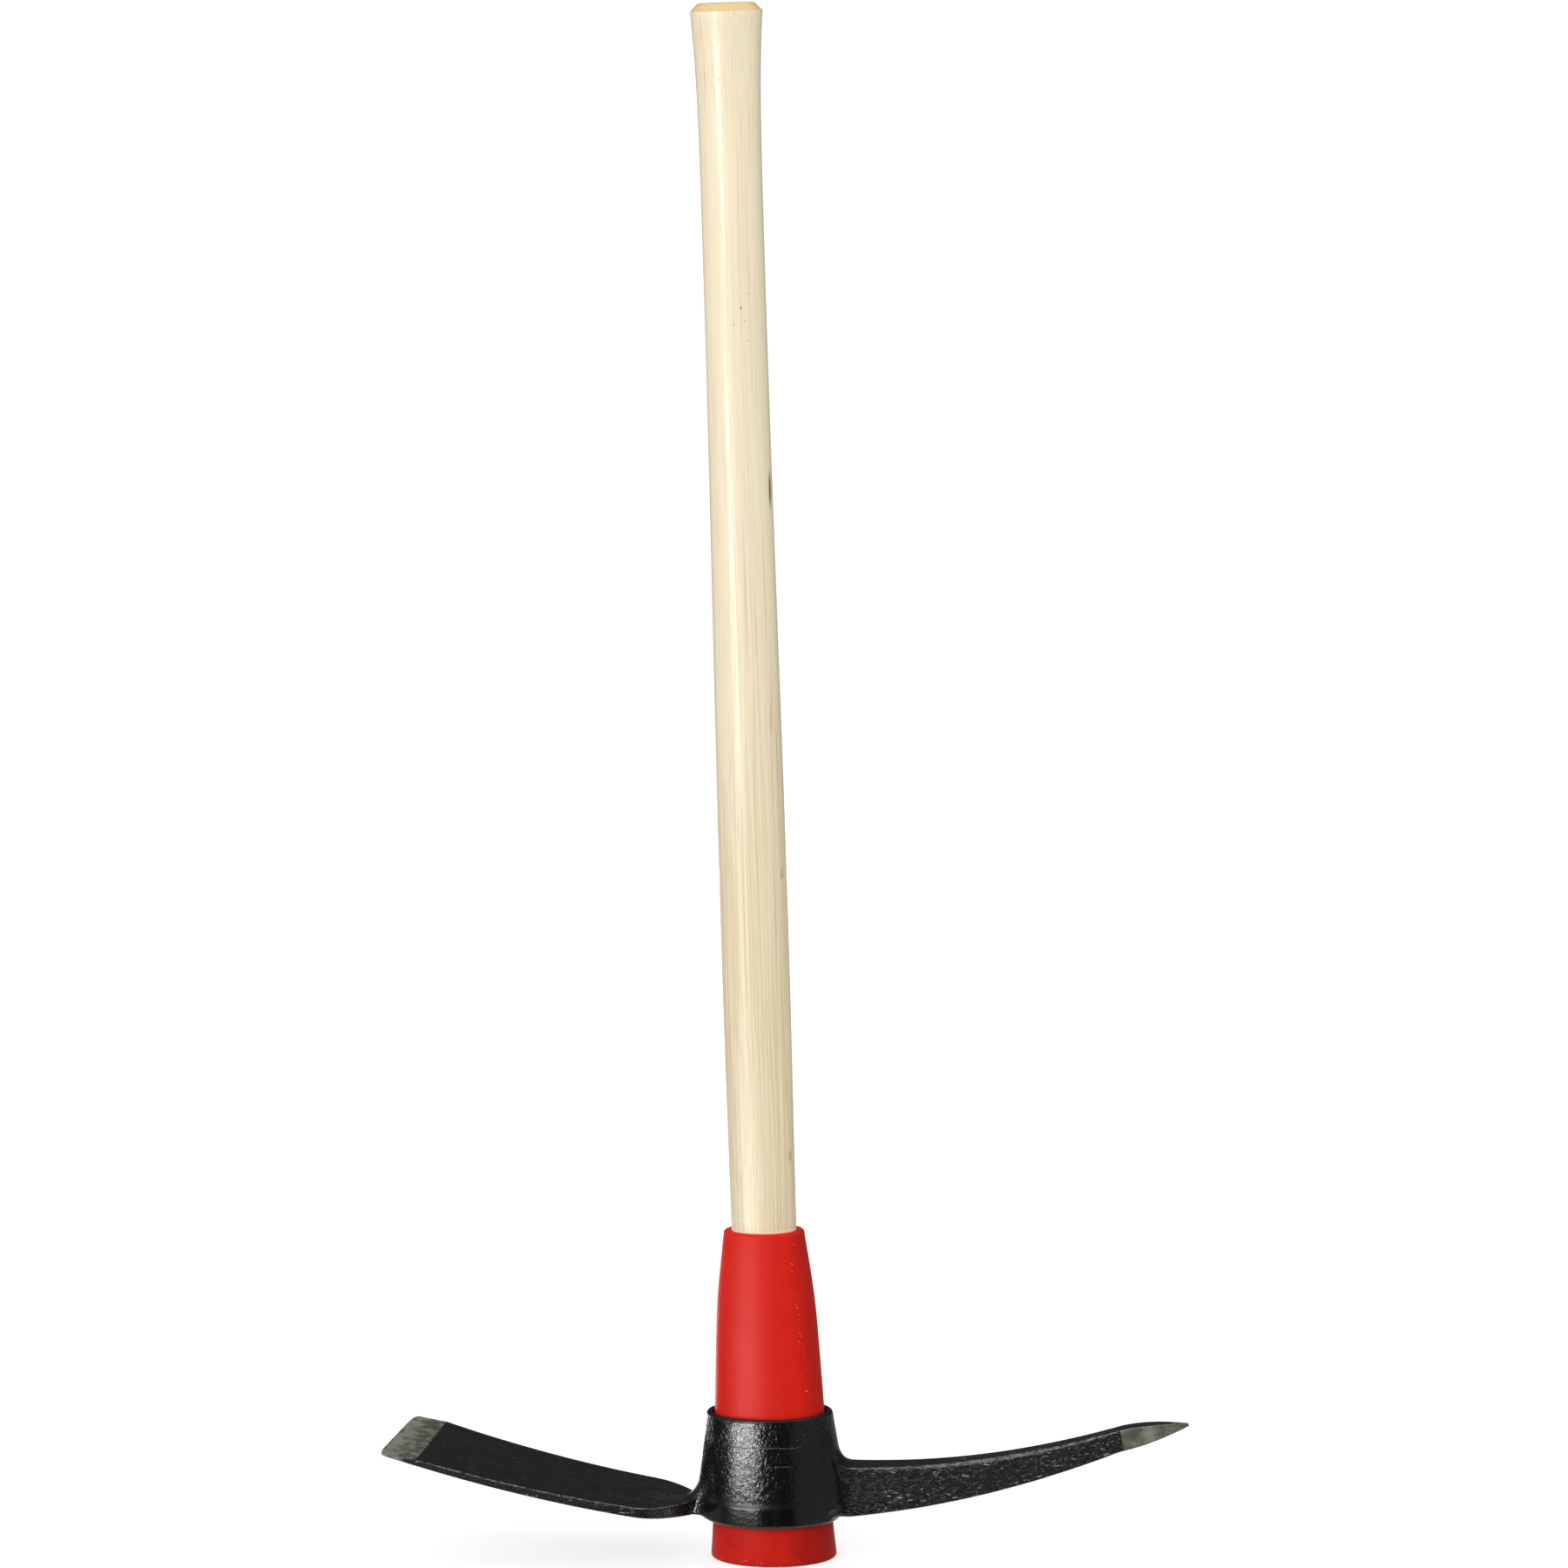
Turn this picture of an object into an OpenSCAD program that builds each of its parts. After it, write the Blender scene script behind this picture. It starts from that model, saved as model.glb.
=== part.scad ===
// Pick mattock: a forged head with an adze blade and a pick, an oval wooden handle and a
// moulded sleeve. The head slips over the grip end and jams on the sleeve at the foot.
// Millimetres. The origin is the middle of the foot, +Z runs up the handle to the grip,
// +X points along the pick and -X along the adze.

/* [Handle] */
// Length of the wooden handle
handle_length = 950; // [880:5:1040]
// Depth of every oval section over its width
oval_ratio = 0.71; // [0.66:0.01:0.78]
// Half width of the handle at its waist, below the grip end
waist_half = 18.6; // [17:0.1:20]
// Half width of the handle where it swells, below its middle
swell_half = 20.7; // [19:0.1:22.5]
// Height of the swell above the foot
swell_height = 360; // [320:5:420]
// Half width of the flared grip end
knob_half = 21.8; // [20.5:0.1:24]
// Length over which the grip end flares
knob_flare = 150; // [110:5:200]
// Width of the chamfer round the grip end
knob_chamfer = 2.2; // [1:0.1:4]

/* [Sleeve] */
// Height of the sleeve
sleeve_height = 206; // [190:1:220]
// Half width of the sleeve's cone at the foot
foot_half = 38.4; // [37:0.1:40]
// Half width that the sleeve's cone loses for each mm of height
sleeve_taper = 0.0465; // [0.04:0.0005:0.052]
// Half width of the sleeve at its mouth
mouth_half = 24.8; // [23.8:0.1:25.8]
// Half width that the steep upper part of the sleeve loses for each mm of height
mouth_taper = 0.14; // [0.12:0.005:0.16]
// Wall of the sleeve
sleeve_wall = 4.6; // [3.5:0.1:5.5]
// Extra half width of the lip at the foot
foot_lip = 0.9; // [0:0.1:1.2]

/* [Eye] */
// Height of the eye's lower rim above the foot
eye_bottom = 24.6; // [20:0.2:30]
// Height of the eye
eye_height = 68; // [62:0.2:74]
// Gap between the sleeve and the eye, along X
eye_gap = 0.9; // [0.6:0.1:1.4]
// Wall of the eye
eye_wall = 3.6; // [3:0.1:5]
// Outward lean of the keels at the two ends of the eye, for each mm downwards
keel_lean = 0.095; // [0.06:0.005:0.12]
// Depth of the flutes beside the adze keel
flute_depth = 1.5; // [0:0.1:1.8]
// Step of the smooth band round the lower part of the eye
band_step = 0.6; // [0.2:0.1:1]

/* [Adze] */
// Distance from the handle's middle line to the cutting edge
adze_reach = 237; // [215:1:255]
// Half width of the blade at the bevel
adze_bevel_half = 45.2; // [40:0.2:50]
// Half width of the blade at its shoulders
adze_shoulder_half = 35.4; // [31:0.2:37]
// Half width of the neck
neck_half = 11; // [10:0.2:13]
// Thickness of the neck
neck_thick = 9; // [8:0.2:11]
// Thickness of the blade behind its shoulders
adze_root_thick = 6.9; // [6:0.1:8]
// Thickness of the blade at the start of the bevel
adze_bevel_thick = 4.3; // [3.5:0.1:5.5]
// Length of the ground bevel
bevel_length = 21; // [16:0.5:26]
// Height of the cutting edge above the underside of the neck
adze_rise = 44.6; // [36:0.2:52]

/* [Pick] */
// Distance from the handle's middle line to the point
pick_reach = 258.6; // [235:0.2:280]
// Half width of the pick at its root
pick_root_half = 10.6; // [9.6:0.1:12]
// Half width of the pick where its ground end starts
pick_end_half = 6.8; // [6:0.1:8]
// Height of the pick at its root
pick_root_tall = 31; // [28:0.2:33]
// Height of the pick where its ground end starts
pick_end_tall = 13.4; // [12:0.2:15]
// Length of the ground end
ground_length = 41; // [34:1:48]
// Rise of the pick's middle line from root to ground end
pick_rise = 34.6; // [26:0.2:42]
// Rise of the middle line along the ground end
ground_rise = 9.3; // [6:0.1:12]

/* [Hidden] */
$fn = 96;

wood = "#e6d6ae";
red_plastic = "#d02c24";
black_paint = "#26272a";

// A cut that leaves no skin of material reaches this far past the face
past = 2;
// Height between the rings of the sleeve and of the handle's foot
foot_step = 8;
// Height between the rings of the handle above the sleeve
grip_step = 15;
// Rounding of the knee between the two cones of the sleeve
knee_round = 0.7;
// Height of the lip at the foot, and its rounded edge
lip_height = 30;
lip_round = 2.2;
// Rounding of the sleeve's mouth
mouth_round = 1.9;
round_step = 15;

// Wood at the sleeve's mouth, and the height of the waist
throat_half = sleeve_half(sleeve_height) - sleeve_wall;
waist_height = handle_length - knob_flare;
knob_height = handle_length - 2 * knob_chamfer;
knob_power = 4;

// Smooth passage from a to b as u goes from 0 to 1
function ease(a, b, u) = a + (b - a) * (1 - cos(180 * max(0, min(1, u)))) / 2;

// Straight passage from a to b as u goes from 0 to 1
function mix(a, b, u) = a + (b - a) * u;

// The smaller of a and b, with the corner between them rounded
function soft_min(a, b, r) = (a + b - sqrt(pow(a - b, 2) + 4 * r * r)) / 2;

// Sideways reach of a concave corner of radius r, at distance d from its foot
function fillet(r, d) = d >= r ? 0 : r - sqrt(r * r - pow(r - max(0, d), 2));

// Half width of the sleeve at height z
function sleeve_half(z) =
    soft_min(foot_half - sleeve_taper * z, mouth_half + mouth_taper * (sleeve_height - z), knee_round)
    + foot_lip * pow(max(0, 1 - z / lip_height), 2);

// Half width of the wood at height z
function wood_half(z) =
    let (
        to_swell = (z - sleeve_height) / (swell_height - sleeve_height),
        to_waist = (z - swell_height) / (waist_height - swell_height),
        to_knob = (z - waist_height) / (knob_height - waist_height)
    )
    z < sleeve_height ? sleeve_half(z) - sleeve_wall :
    z < swell_height ? ease(throat_half, swell_half, to_swell) :
    z < waist_height ? ease(swell_half, waist_half, to_waist) :
    mix(waist_half, knob_half, pow(to_knob, knob_power));

// Evenly spaced heights from a up to b, about step apart, b left out
function heights(a, b, step) =
    let (n = ceil((b - a) / step))
    [for (i = [0 : n - 1]) mix(a, b, i / n)];

foot_heights = heights(0, sleeve_height, foot_step);
foot_line = [for (z = foot_heights) [wood_half(z), z]];

// Solid of revolution of a half profile, in two halves, each drawn out into the handle's oval
module oval_revolve(profile) {
    for (turn = [0, 180])
        scale([1, oval_ratio, 1]) rotate(turn) rotate_extrude(angle = 180) polygon(profile);
}

// Space below the foot, which cuts it flat
module below_foot() {
    side = 4 * foot_half;
    translate([-side / 2, -side / 2, -side]) cube(side);
}

module handle() {
    grip_heights = heights(sleeve_height, knob_height, grip_step);
    color(wood) difference() {
        oval_revolve(concat(
            [[0, -past], [wood_half(0), -past]],
            foot_line,
            [for (z = grip_heights) [wood_half(z), z]],
            [[knob_half, knob_height], [knob_half - knob_chamfer, handle_length], [0, handle_length]]
        ));
        below_foot();
    }
}

// Space that the wooden foot takes up inside the sleeve
module foot_space() {
    oval_revolve(concat(
        [[0, -2 * past], [wood_half(0), -2 * past]],
        foot_line,
        [[throat_half, sleeve_height], [throat_half, sleeve_height + past], [0, sleeve_height + past]]
    ));
}

module sleeve() {
    rim_half = sleeve_half(sleeve_height);
    rim_low = sleeve_height - mouth_round;
    outside_heights = heights(lip_round, rim_low, foot_step);
    foot_edge = sleeve_half(lip_round) - lip_round;
    color(red_plastic) difference() {
        oval_revolve(concat(
            [[0, -past], [foot_edge, -past]],
            [for (a = [0 : round_step : 90 - round_step])
                [foot_edge + lip_round * sin(a), lip_round * (1 - cos(a))]],
            [for (z = outside_heights) [sleeve_half(z), z]],
            [for (a = [0 : round_step : 90])
                [rim_half - mouth_round * (1 - cos(a)), rim_low + mouth_round * sin(a)]],
            [[0, sleeve_height]]
        ));
        foot_space();
        below_foot();
    }
}

// Eye of the head. Heights h are above its lower rim.
eye_round_top = 1.8;
eye_round_low = 2;
mouth_flare = 0.8;
band_height = 12.4;
band_bevel = 2;
eye_points = 84;
eye_crowding = 14;
eye_step = 3;
keel_tip = 0.4;
keel_core = 4;
keel_flank = 10;
keel_inset = 5;
keel_web = 7;
keel_sink = 2;
adze_fillet = 17;
pick_fillet = 13.5;
neck_web_drop = 4;
flute_angle = 35;
flute_spread = 13;
flute_low = 14;
flute_high = 50;

// Adze, measured from the neck outwards, with heights above the eye's lower rim
neck_reach = 50;
neck_low = 2.8;
shoulder_length = 30;
adze_root_slope = 0.135;
adze_length = adze_reach - neck_reach;
bevel_start = adze_length - bevel_length;
edge_thick = 0.5;
edge_bow = 3.4;
edge_bow_power = 2.4;
edge_flat = 0.6;
adze_corner = 0.6;
adze_step = 8;
shoulder_step = 2;

// Pick, measured from its root outwards
pick_root = 50;
pick_middle = 19.2;
pick_root_slope = 0.0579;
pick_length = pick_reach - pick_root;
ground_start = pick_length - ground_length;
pick_corner = 0.9;
pick_chamfer = 1.6;
point_half = 0.7;
point_power = 1.9;
pick_step = 8;
ground_step = 3;

// The arms start this far from the handle's middle line, inside the eye
arm_start = 33;
// Cut corners of an arm take at most this share of its thickness
corner_share = 0.25;

neck_high = neck_low + neck_thick;
pick_root_low = pick_middle - pick_root_tall / 2;
pick_root_high = pick_middle + pick_root_tall / 2;

// Half width of the bore at height h of the eye
function bore_half(h) = sleeve_half(eye_bottom + h) + eye_gap;

// A keel at height h: its reach past the oval of the eye, the half width of its flat nose and the
// half width where its flanks end. It leans outwards and its foot is sunk in its arm, which has the
// height high and a half width of its own. From low up to that foot it is a web beside the arm.
function keel(h, low, high, half, radius) =
    let (foot = high - keel_sink, above = max(0, min(1, (h - foot) / radius)))
    h < foot
    ? [ease(0, 1, (h - low) / keel_web) * keel_web, half - keel_inset, half + keel_web]
    : [keel_tip + keel_lean * (eye_height - h) + fillet(radius, h - foot),
       mix(half - keel_inset, keel_core, above),
       mix(half, keel_core + keel_flank, above)];

// How far a keel stands out at distance y from the middle of its nose
function keel_out(keel, y) = keel[0] * ease(1, 0, (abs(y) - keel[1]) / (keel[2] - keel[1]));

// How far the eye stands out at height h: the lower band, less the rounded rims
function eye_step_out(h) =
    ease(band_step, 0, (h - band_height) / band_bevel)
    - fillet(eye_round_low, h) - fillet(eye_round_top, eye_height - h);

// Outline of the eye at height h
function eye_ring(h) =
    let (
        a = bore_half(h) + eye_wall + eye_step_out(h),
        b = oval_ratio * bore_half(h) + eye_wall + eye_step_out(h),
        pick_keel = keel(h, pick_root_low, pick_root_high, pick_root_half, pick_fillet),
        adze_keel = keel(h, neck_low - neck_web_drop, neck_high, neck_half, adze_fillet),
        flute_run = (h - flute_low) / (flute_high - flute_low),
        scoop = flute_run > 0 && flute_run < 1 ? flute_depth * sin(180 * flute_run) : 0
    )
    [for (i = [0 : eye_points - 1])
        let (
            even = 360 * i / eye_points,
            t = even - eye_crowding * sin(2 * even),
            y = b * sin(t),
            keel = cos(t) > 0 ? keel_out(pick_keel, y) : -keel_out(adze_keel, y),
            off = abs(t - 180) - flute_angle,
            flute = scoop * ease(1, 0, abs(off) / flute_spread)
        )
        [(a - flute) * cos(t) + keel, (b - flute) * sin(t), h]];

// Half width of the adze at distance d past its neck
function adze_half(d) =
    let (
        shoulder = max(0, min(1, 1 - d / shoulder_length)),
        blade = (d - shoulder_length) / (bevel_start - shoulder_length),
        full = mix(adze_shoulder_half, adze_bevel_half, blade),
        bow = max(0, d - adze_length + edge_bow) / edge_bow
    )
    mix(full, neck_half, shoulder * shoulder)
    * mix(edge_flat, 1, pow(max(0, 1 - pow(bow, edge_bow_power)), 1 / edge_bow_power));

// Underside of the adze
function adze_low(d) =
    let (run = max(0, d))
    neck_low + adze_root_slope * run
    + (adze_rise - adze_root_slope * adze_length) * pow(run / adze_length, 2);

// Thickness of the adze: thick at the neck, even along the blade, ground down to the edge
function adze_thick(d) =
    let (
        along = mix(adze_root_thick, adze_bevel_thick, max(0, d) / bevel_start),
        neck = (neck_thick - adze_root_thick) * pow(max(0, 1 - max(0, d) / shoulder_length), 2),
        ground = (d - bevel_start) / bevel_length
    )
    d < bevel_start ? along + neck : mix(adze_bevel_thick, edge_thick, ground);

// Half width, height and middle line of the pick at distance d past its root
function ground_left(d) = 1 - pow(max(0, d - ground_start) / ground_length, point_power);
function pick_half(d) =
    d < ground_start ? mix(pick_root_half, pick_end_half, max(0, d) / ground_start) :
    mix(point_half, pick_end_half, ground_left(d));
function pick_tall(d) =
    d < ground_start ? mix(pick_root_tall, pick_end_tall, max(0, d) / ground_start) :
    mix(point_half, pick_end_tall, ground_left(d));
function pick_line(d) =
    let (run = max(0, min(d, ground_start)))
    pick_middle + pick_root_slope * run
    + (pick_rise - pick_root_slope * ground_start) * pow(run / ground_start, 2)
    + ground_rise * max(0, d - ground_start) / ground_length;

// Upright section across an arm: half width w from height low to high, corners cut by c
function arm_ring(x, w, low, high, c_low, c_high) = [
    [x, w - c_low, low], [x, w, low + c_low], [x, w, high - c_high], [x, w - c_high, high],
    [x, c_high - w, high], [x, -w, high - c_high], [x, -w, low + c_low], [x, c_low - w, low]
];

// Section of the adze at distance d past its neck
function adze_ring(d) =
    let (thick = adze_thick(d), corner = min(adze_corner, corner_share * thick))
    arm_ring(-neck_reach - d, adze_half(d), adze_low(d), adze_low(d) + thick, corner, corner);

// Section of the pick at distance d past its root
function pick_ring(d) =
    let (
        tall = pick_tall(d),
        w = pick_half(d),
        low = pick_line(d) - tall / 2,
        mid_length = sin(180 * max(0, min(1, d / ground_start))),
        corner = min(pick_corner, corner_share * w)
    )
    arm_ring(pick_root + d, w, low, low + tall, corner, corner + pick_chamfer * mid_length);

// Closed skin over equal rings of points, which run anticlockwise as seen from the last ring
module skin(rings) {
    n = len(rings[0]);
    last = (len(rings) - 1) * n;
    walls = [for (r = [0 : n : last - 1], i = [0 : n - 1])
        let (j = (i + 1) % n)
        each [[r + i, r + n + j, r + j], [r + i, r + n + i, r + n + j]]];
    ends = [[for (i = [0 : n - 1]) i], [for (i = [n - 1 : -1 : 0]) last + i]];
    polyhedron([for (ring = rings) each ring], concat(walls, ends));
}

// Heights of the eye's outlines are closer together on its rounded rims and on the band's bevel
module eye() {
    rings = concat(
        [for (a = [0 : round_step : 90 - round_step]) eye_round_low * (1 - cos(a))],
        heights(eye_round_low, band_height, eye_step),
        heights(band_height, band_height + band_bevel, band_bevel / 2),
        heights(band_height + band_bevel, eye_height - eye_round_top, eye_step),
        [for (a = [90 : -round_step : 0]) eye_height - eye_round_top * (1 - cos(a))]
    );
    skin([for (h = rings) eye_ring(h)]);
}

module adze() {
    along = concat(
        [arm_start - neck_reach],
        heights(0, shoulder_length, shoulder_step),
        heights(shoulder_length, bevel_start, adze_step),
        [bevel_start],
        [for (a = [0 : round_step : 90]) adze_length - edge_bow * (1 - sin(a))]
    );
    skin([for (i = [len(along) - 1 : -1 : 0]) adze_ring(along[i])]);
}

module pick() {
    along = concat(
        [arm_start - pick_root],
        heights(0, ground_start, pick_step),
        heights(ground_start, pick_length, ground_step),
        [pick_length]
    );
    skin([for (d = along) pick_ring(d)]);
}

// Bore of the eye, which follows the sleeve and flares a little at both mouths
module eye_bore() {
    low_mouth = bore_half(0) + mouth_flare;
    high_mouth = bore_half(eye_height) + mouth_flare;
    oval_revolve([
        [0, -past],
        [low_mouth, -past],
        [low_mouth, 0],
        [bore_half(mouth_flare), mouth_flare],
        [bore_half(eye_height - mouth_flare), eye_height - mouth_flare],
        [high_mouth, eye_height],
        [high_mouth, eye_height + past],
        [0, eye_height + past]
    ]);
}

module head() {
    color(black_paint) translate([0, 0, eye_bottom]) difference() {
        union() {
            eye();
            adze();
            pick();
        }
        eye_bore();
    }
}

handle();
sleeve();
head();
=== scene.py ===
"""Pick mattock, dressed around its packed solids: wooden handle, red sleeve and forged head."""

import math
import bmesh
import bpy
import numpy as np
from bpy.props import FloatProperty, FloatVectorProperty, IntProperty, PointerProperty
from mathutils import Matrix, Vector, noise


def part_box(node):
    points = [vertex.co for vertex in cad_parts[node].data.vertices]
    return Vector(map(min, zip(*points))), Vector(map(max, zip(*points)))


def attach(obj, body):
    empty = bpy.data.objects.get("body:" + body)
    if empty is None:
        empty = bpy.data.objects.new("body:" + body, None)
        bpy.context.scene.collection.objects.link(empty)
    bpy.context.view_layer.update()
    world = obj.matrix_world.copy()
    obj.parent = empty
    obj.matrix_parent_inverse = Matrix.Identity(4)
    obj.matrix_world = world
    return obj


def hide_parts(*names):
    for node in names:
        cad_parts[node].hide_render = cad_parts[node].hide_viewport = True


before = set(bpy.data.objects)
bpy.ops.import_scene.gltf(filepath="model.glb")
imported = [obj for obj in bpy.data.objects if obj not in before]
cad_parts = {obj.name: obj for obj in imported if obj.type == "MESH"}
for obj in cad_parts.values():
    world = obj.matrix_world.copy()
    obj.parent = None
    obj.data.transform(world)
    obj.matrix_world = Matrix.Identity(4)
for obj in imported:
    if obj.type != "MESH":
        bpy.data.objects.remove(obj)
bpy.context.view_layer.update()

HANDLE_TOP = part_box("handle")[1].z
SLEEVE_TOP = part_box("sleeve")[1].z
HEAD_LOW, HEAD_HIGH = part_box("head")

bl_info = {
    "name": "Pick mattock",
    "version": (1, 0, 0),
    "blender": (4, 5, 0),
    "location": "3D View > Sidebar > Mattock",
    "description": "Builds a pick mattock: oval wooden handle, flared sleeve and forged head",
    "category": "Object",
}

MM = 0.001


def setting(kind, **limits):
    """A kind of setting that a user may change, made from its name, description and default."""
    return lambda name, description, default: kind(
        name=name, description=description, default=default, **limits
    )


length = setting(FloatProperty, min=0, unit="LENGTH")
share = setting(FloatProperty, min=0)
power = setting(FloatProperty, min=0, unit="POWER")
angle = setting(FloatProperty, subtype="ANGLE")
colour = setting(FloatVectorProperty, min=0, max=1, subtype="COLOR")
facet_count = setting(IntProperty, min=24)


class HandleSizes(bpy.types.PropertyGroup):
    """Sizes of the wooden handle."""

    total: length("Length", "Length of the wooden handle", HANDLE_TOP)
    oval: share("Oval", "Depth of every oval section over its width", 0.71)
    waist: length("Waist", "Half width at the waist below the grip end", 18.6 * MM)
    swell: length("Swell", "Half width where the handle swells", 20.7 * MM)
    swell_height: length("Swell height", "Height of the swell above the foot", 360 * MM)
    knob: length("Grip end", "Half width of the flared grip end", 21.8 * MM)
    flare: length("Flare", "Length over which the grip end flares", 150 * MM)
    chamfer: length("Chamfer", "Width of the chamfer round the grip end", 4.9 * MM)
    facets: facet_count("Facets", "Facets round the oval", 144)


class SleeveSizes(bpy.types.PropertyGroup):
    """Sizes of the moulded sleeve."""

    height: length("Height", "Height of the sleeve", SLEEVE_TOP)
    foot: length("Foot", "Half width of the cone at the foot", 38.4 * MM)
    taper: share("Taper", "Half width that the cone loses for each unit of height", 0.0465)
    mouth: length("Mouth", "Half width at the mouth", 24.8 * MM)
    mouth_taper: share("Mouth taper", "Half width that the upper part loses with height", 0.14)
    wall: length("Wall", "Wall of the sleeve", 4.6 * MM)
    lip: length("Lip", "Extra half width of the lip at the foot", 0.9 * MM)


class HeadSizes(bpy.types.PropertyGroup):
    """Sizes of the forged head."""

    bottom: length("Eye bottom", "Height of the eye's lower rim", HEAD_LOW.z)
    tall: length("Eye height", "Height of the eye", 68 * MM)
    gap: length("Gap", "Gap between the sleeve and the eye", 0.9 * MM)
    wall: length("Eye wall", "Wall of the eye", 3.6 * MM)
    lean: share("Keel lean", "Outward lean of the keels", 0.095)
    flute: length("Flutes", "Depth of the flutes beside the adze keel", 2.3 * MM)
    band: length("Band", "Step of the smooth band round the lower part of the eye", 0.5 * MM)
    adze_reach: length("Adze reach", "Middle line to the cutting edge", -HEAD_LOW.x)
    adze_bevel: length("Blade half width", "Half width of the blade at its bevel", 45.2 * MM)
    adze_shoulder: length("Shoulder", "Half width of the blade's shoulders", 35.4 * MM)
    neck: length("Neck", "Half width of the neck", 11 * MM)
    neck_thick: length("Neck thickness", "Thickness of the neck", 9 * MM)
    blade_thick: length("Blade thickness", "Thickness behind the shoulders", 6.9 * MM)
    bevel_thick: length("Bevel thickness", "Thickness where the bevel starts", 4.3 * MM)
    bevel: length("Bevel", "Length of the ground bevel", 21 * MM)
    adze_rise: length("Adze rise", "Rise of the edge above the neck", 44.6 * MM)
    pick_reach: length("Pick reach", "Middle line to the point", HEAD_HIGH.x)
    pick_root: length("Pick half width", "Half width of the pick at its root", 10.6 * MM)
    pick_end: length("Pick end", "Half width where the ground end starts", 6.8 * MM)
    pick_tall: length("Pick height", "Height of the pick at its root", 31 * MM)
    pick_end_tall: length("Pick end height", "Height where the ground end starts", 13.4 * MM)
    ground: length("Ground end", "Length of the pick's ground end", 41 * MM)
    pick_rise: length("Pick rise", "Rise of the middle line to the ground end", 34.6 * MM)
    ground_rise: length("Point rise", "Rise of the middle line along the ground end", 9.3 * MM)


class Finishes(bpy.types.PropertyGroup):
    """Colours of the finishes."""

    wood: colour("Wood", "Pale early wood", (0.93, 0.82, 0.59))
    grain: colour("Grain", "Darker late wood", (0.68, 0.53, 0.30))
    end_grain: colour("End grain", "Cut wood round the grip end", (0.80, 0.56, 0.23))
    red: colour("Red", "Moulded sleeve", (0.67, 0.013, 0.005))
    black: colour("Black", "Paint of the head", (0.0045, 0.0045, 0.005))
    # Besides rubbed paint, lighter copies of this colour make painted glints on the head.
    worn_and_glint: colour("Worn paint", "Paint rubbed on edges", (0.20, 0.20, 0.205))
    steel: colour("Bare steel", "Ground ends of the head", (0.22, 0.22, 0.175))


class StageSettings(bpy.types.PropertyGroup):
    """Light and camera of the studio."""

    azimuth: angle("Azimuth", "Camera's turn round the tool", math.radians(11))
    roll: angle("Roll", "Camera's roll", math.radians(-1.777))
    distance: length("Distance", "Camera's distance along the floor", 3.48)
    height: length("Height", "Camera's height", 0.992)
    key: power("Key", "Power of the key light", 30)
    fill: power("Fill", "Power of the fill light", 3)
    back: power("Back", "Power of the light behind", 16)
    gloss: power("Gloss", "Power of the panel that only reflections see", 24)
    ambient: share("Ambient", "Strength of the light from all round", 0.82)


# Shapes


def ease(a, b, u):
    """Smooth passage from a to b as u goes from 0 to 1."""
    return a + (b - a) * (1 - np.cos(np.pi * np.clip(u, 0, 1))) / 2


def mix(a, b, u):
    """Straight passage from a to b as u goes from 0 to 1."""
    return a + (b - a) * u


def corner_reach(radius, d):
    """Sideways reach of a concave corner at distance d from its foot."""
    inner = radius - np.clip(d, 0, radius)
    return radius - np.sqrt(radius**2 - inner**2)


def spread(a, b, step):
    """Even values from a up to b, about step apart, b left out."""
    count = max(1, math.ceil((b - a) / step - 1e-6))
    return a + (b - a) * np.arange(count) / count


def quarter(count):
    """Angles of a quarter turn in equal steps, both ends included."""
    return np.linspace(0, math.pi / 2, count + 1)


KNEE_ROUND = 0.7 * MM
LIP_HEIGHT = 30 * MM
LIP_ROUND = 2.2 * MM
MOUTH_ROUND = 1.9 * MM
THROAT_ROUND = 0.5 * MM
WOOD_CLEARANCE = 0.05 * MM
KNOB_POWER = 4
CHAMFER_SOFT = 0.8 * MM
SHAFT_STEP = 5 * MM
SLEEVE_STEP = 3 * MM
HIDDEN_WOOD_STEP = 8 * MM
HIDDEN_WALL_STEP = 10 * MM
ROUND_STEPS = 6


def sleeve_half(sleeve, z):
    """Half width of the sleeve at height z."""
    cone = sleeve.foot - sleeve.taper * z
    steep = sleeve.mouth + sleeve.mouth_taper * (sleeve.height - z)
    lower = (cone + steep - np.sqrt((cone - steep) ** 2 + 4 * KNEE_ROUND**2)) / 2
    return lower + sleeve.lip * np.clip(1 - z / LIP_HEIGHT, 0, None) ** 2


def wood_half(handle, sleeve, z):
    """Half width of the wood at height z."""
    throat = sleeve_half(sleeve, sleeve.height) - sleeve.wall
    swell_height = handle.swell_height
    waist_height = handle.total - handle.flare
    knob_height = handle.total - handle.chamfer
    inside = sleeve_half(sleeve, z) - sleeve.wall - WOOD_CLEARANCE
    swelling = ease(throat, handle.swell, (z - sleeve.height) / (swell_height - sleeve.height))
    slimming = ease(handle.swell, handle.waist, (z - swell_height) / (waist_height - swell_height))
    flare = np.clip((z - waist_height) / (knob_height - waist_height), 0, 1)
    flaring = mix(handle.waist, handle.knob, flare**KNOB_POWER)
    shaft = np.where(z < swell_height, swelling, np.where(z < waist_height, slimming, flaring))
    return np.where(z < sleeve.height, inside, shaft)


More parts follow.
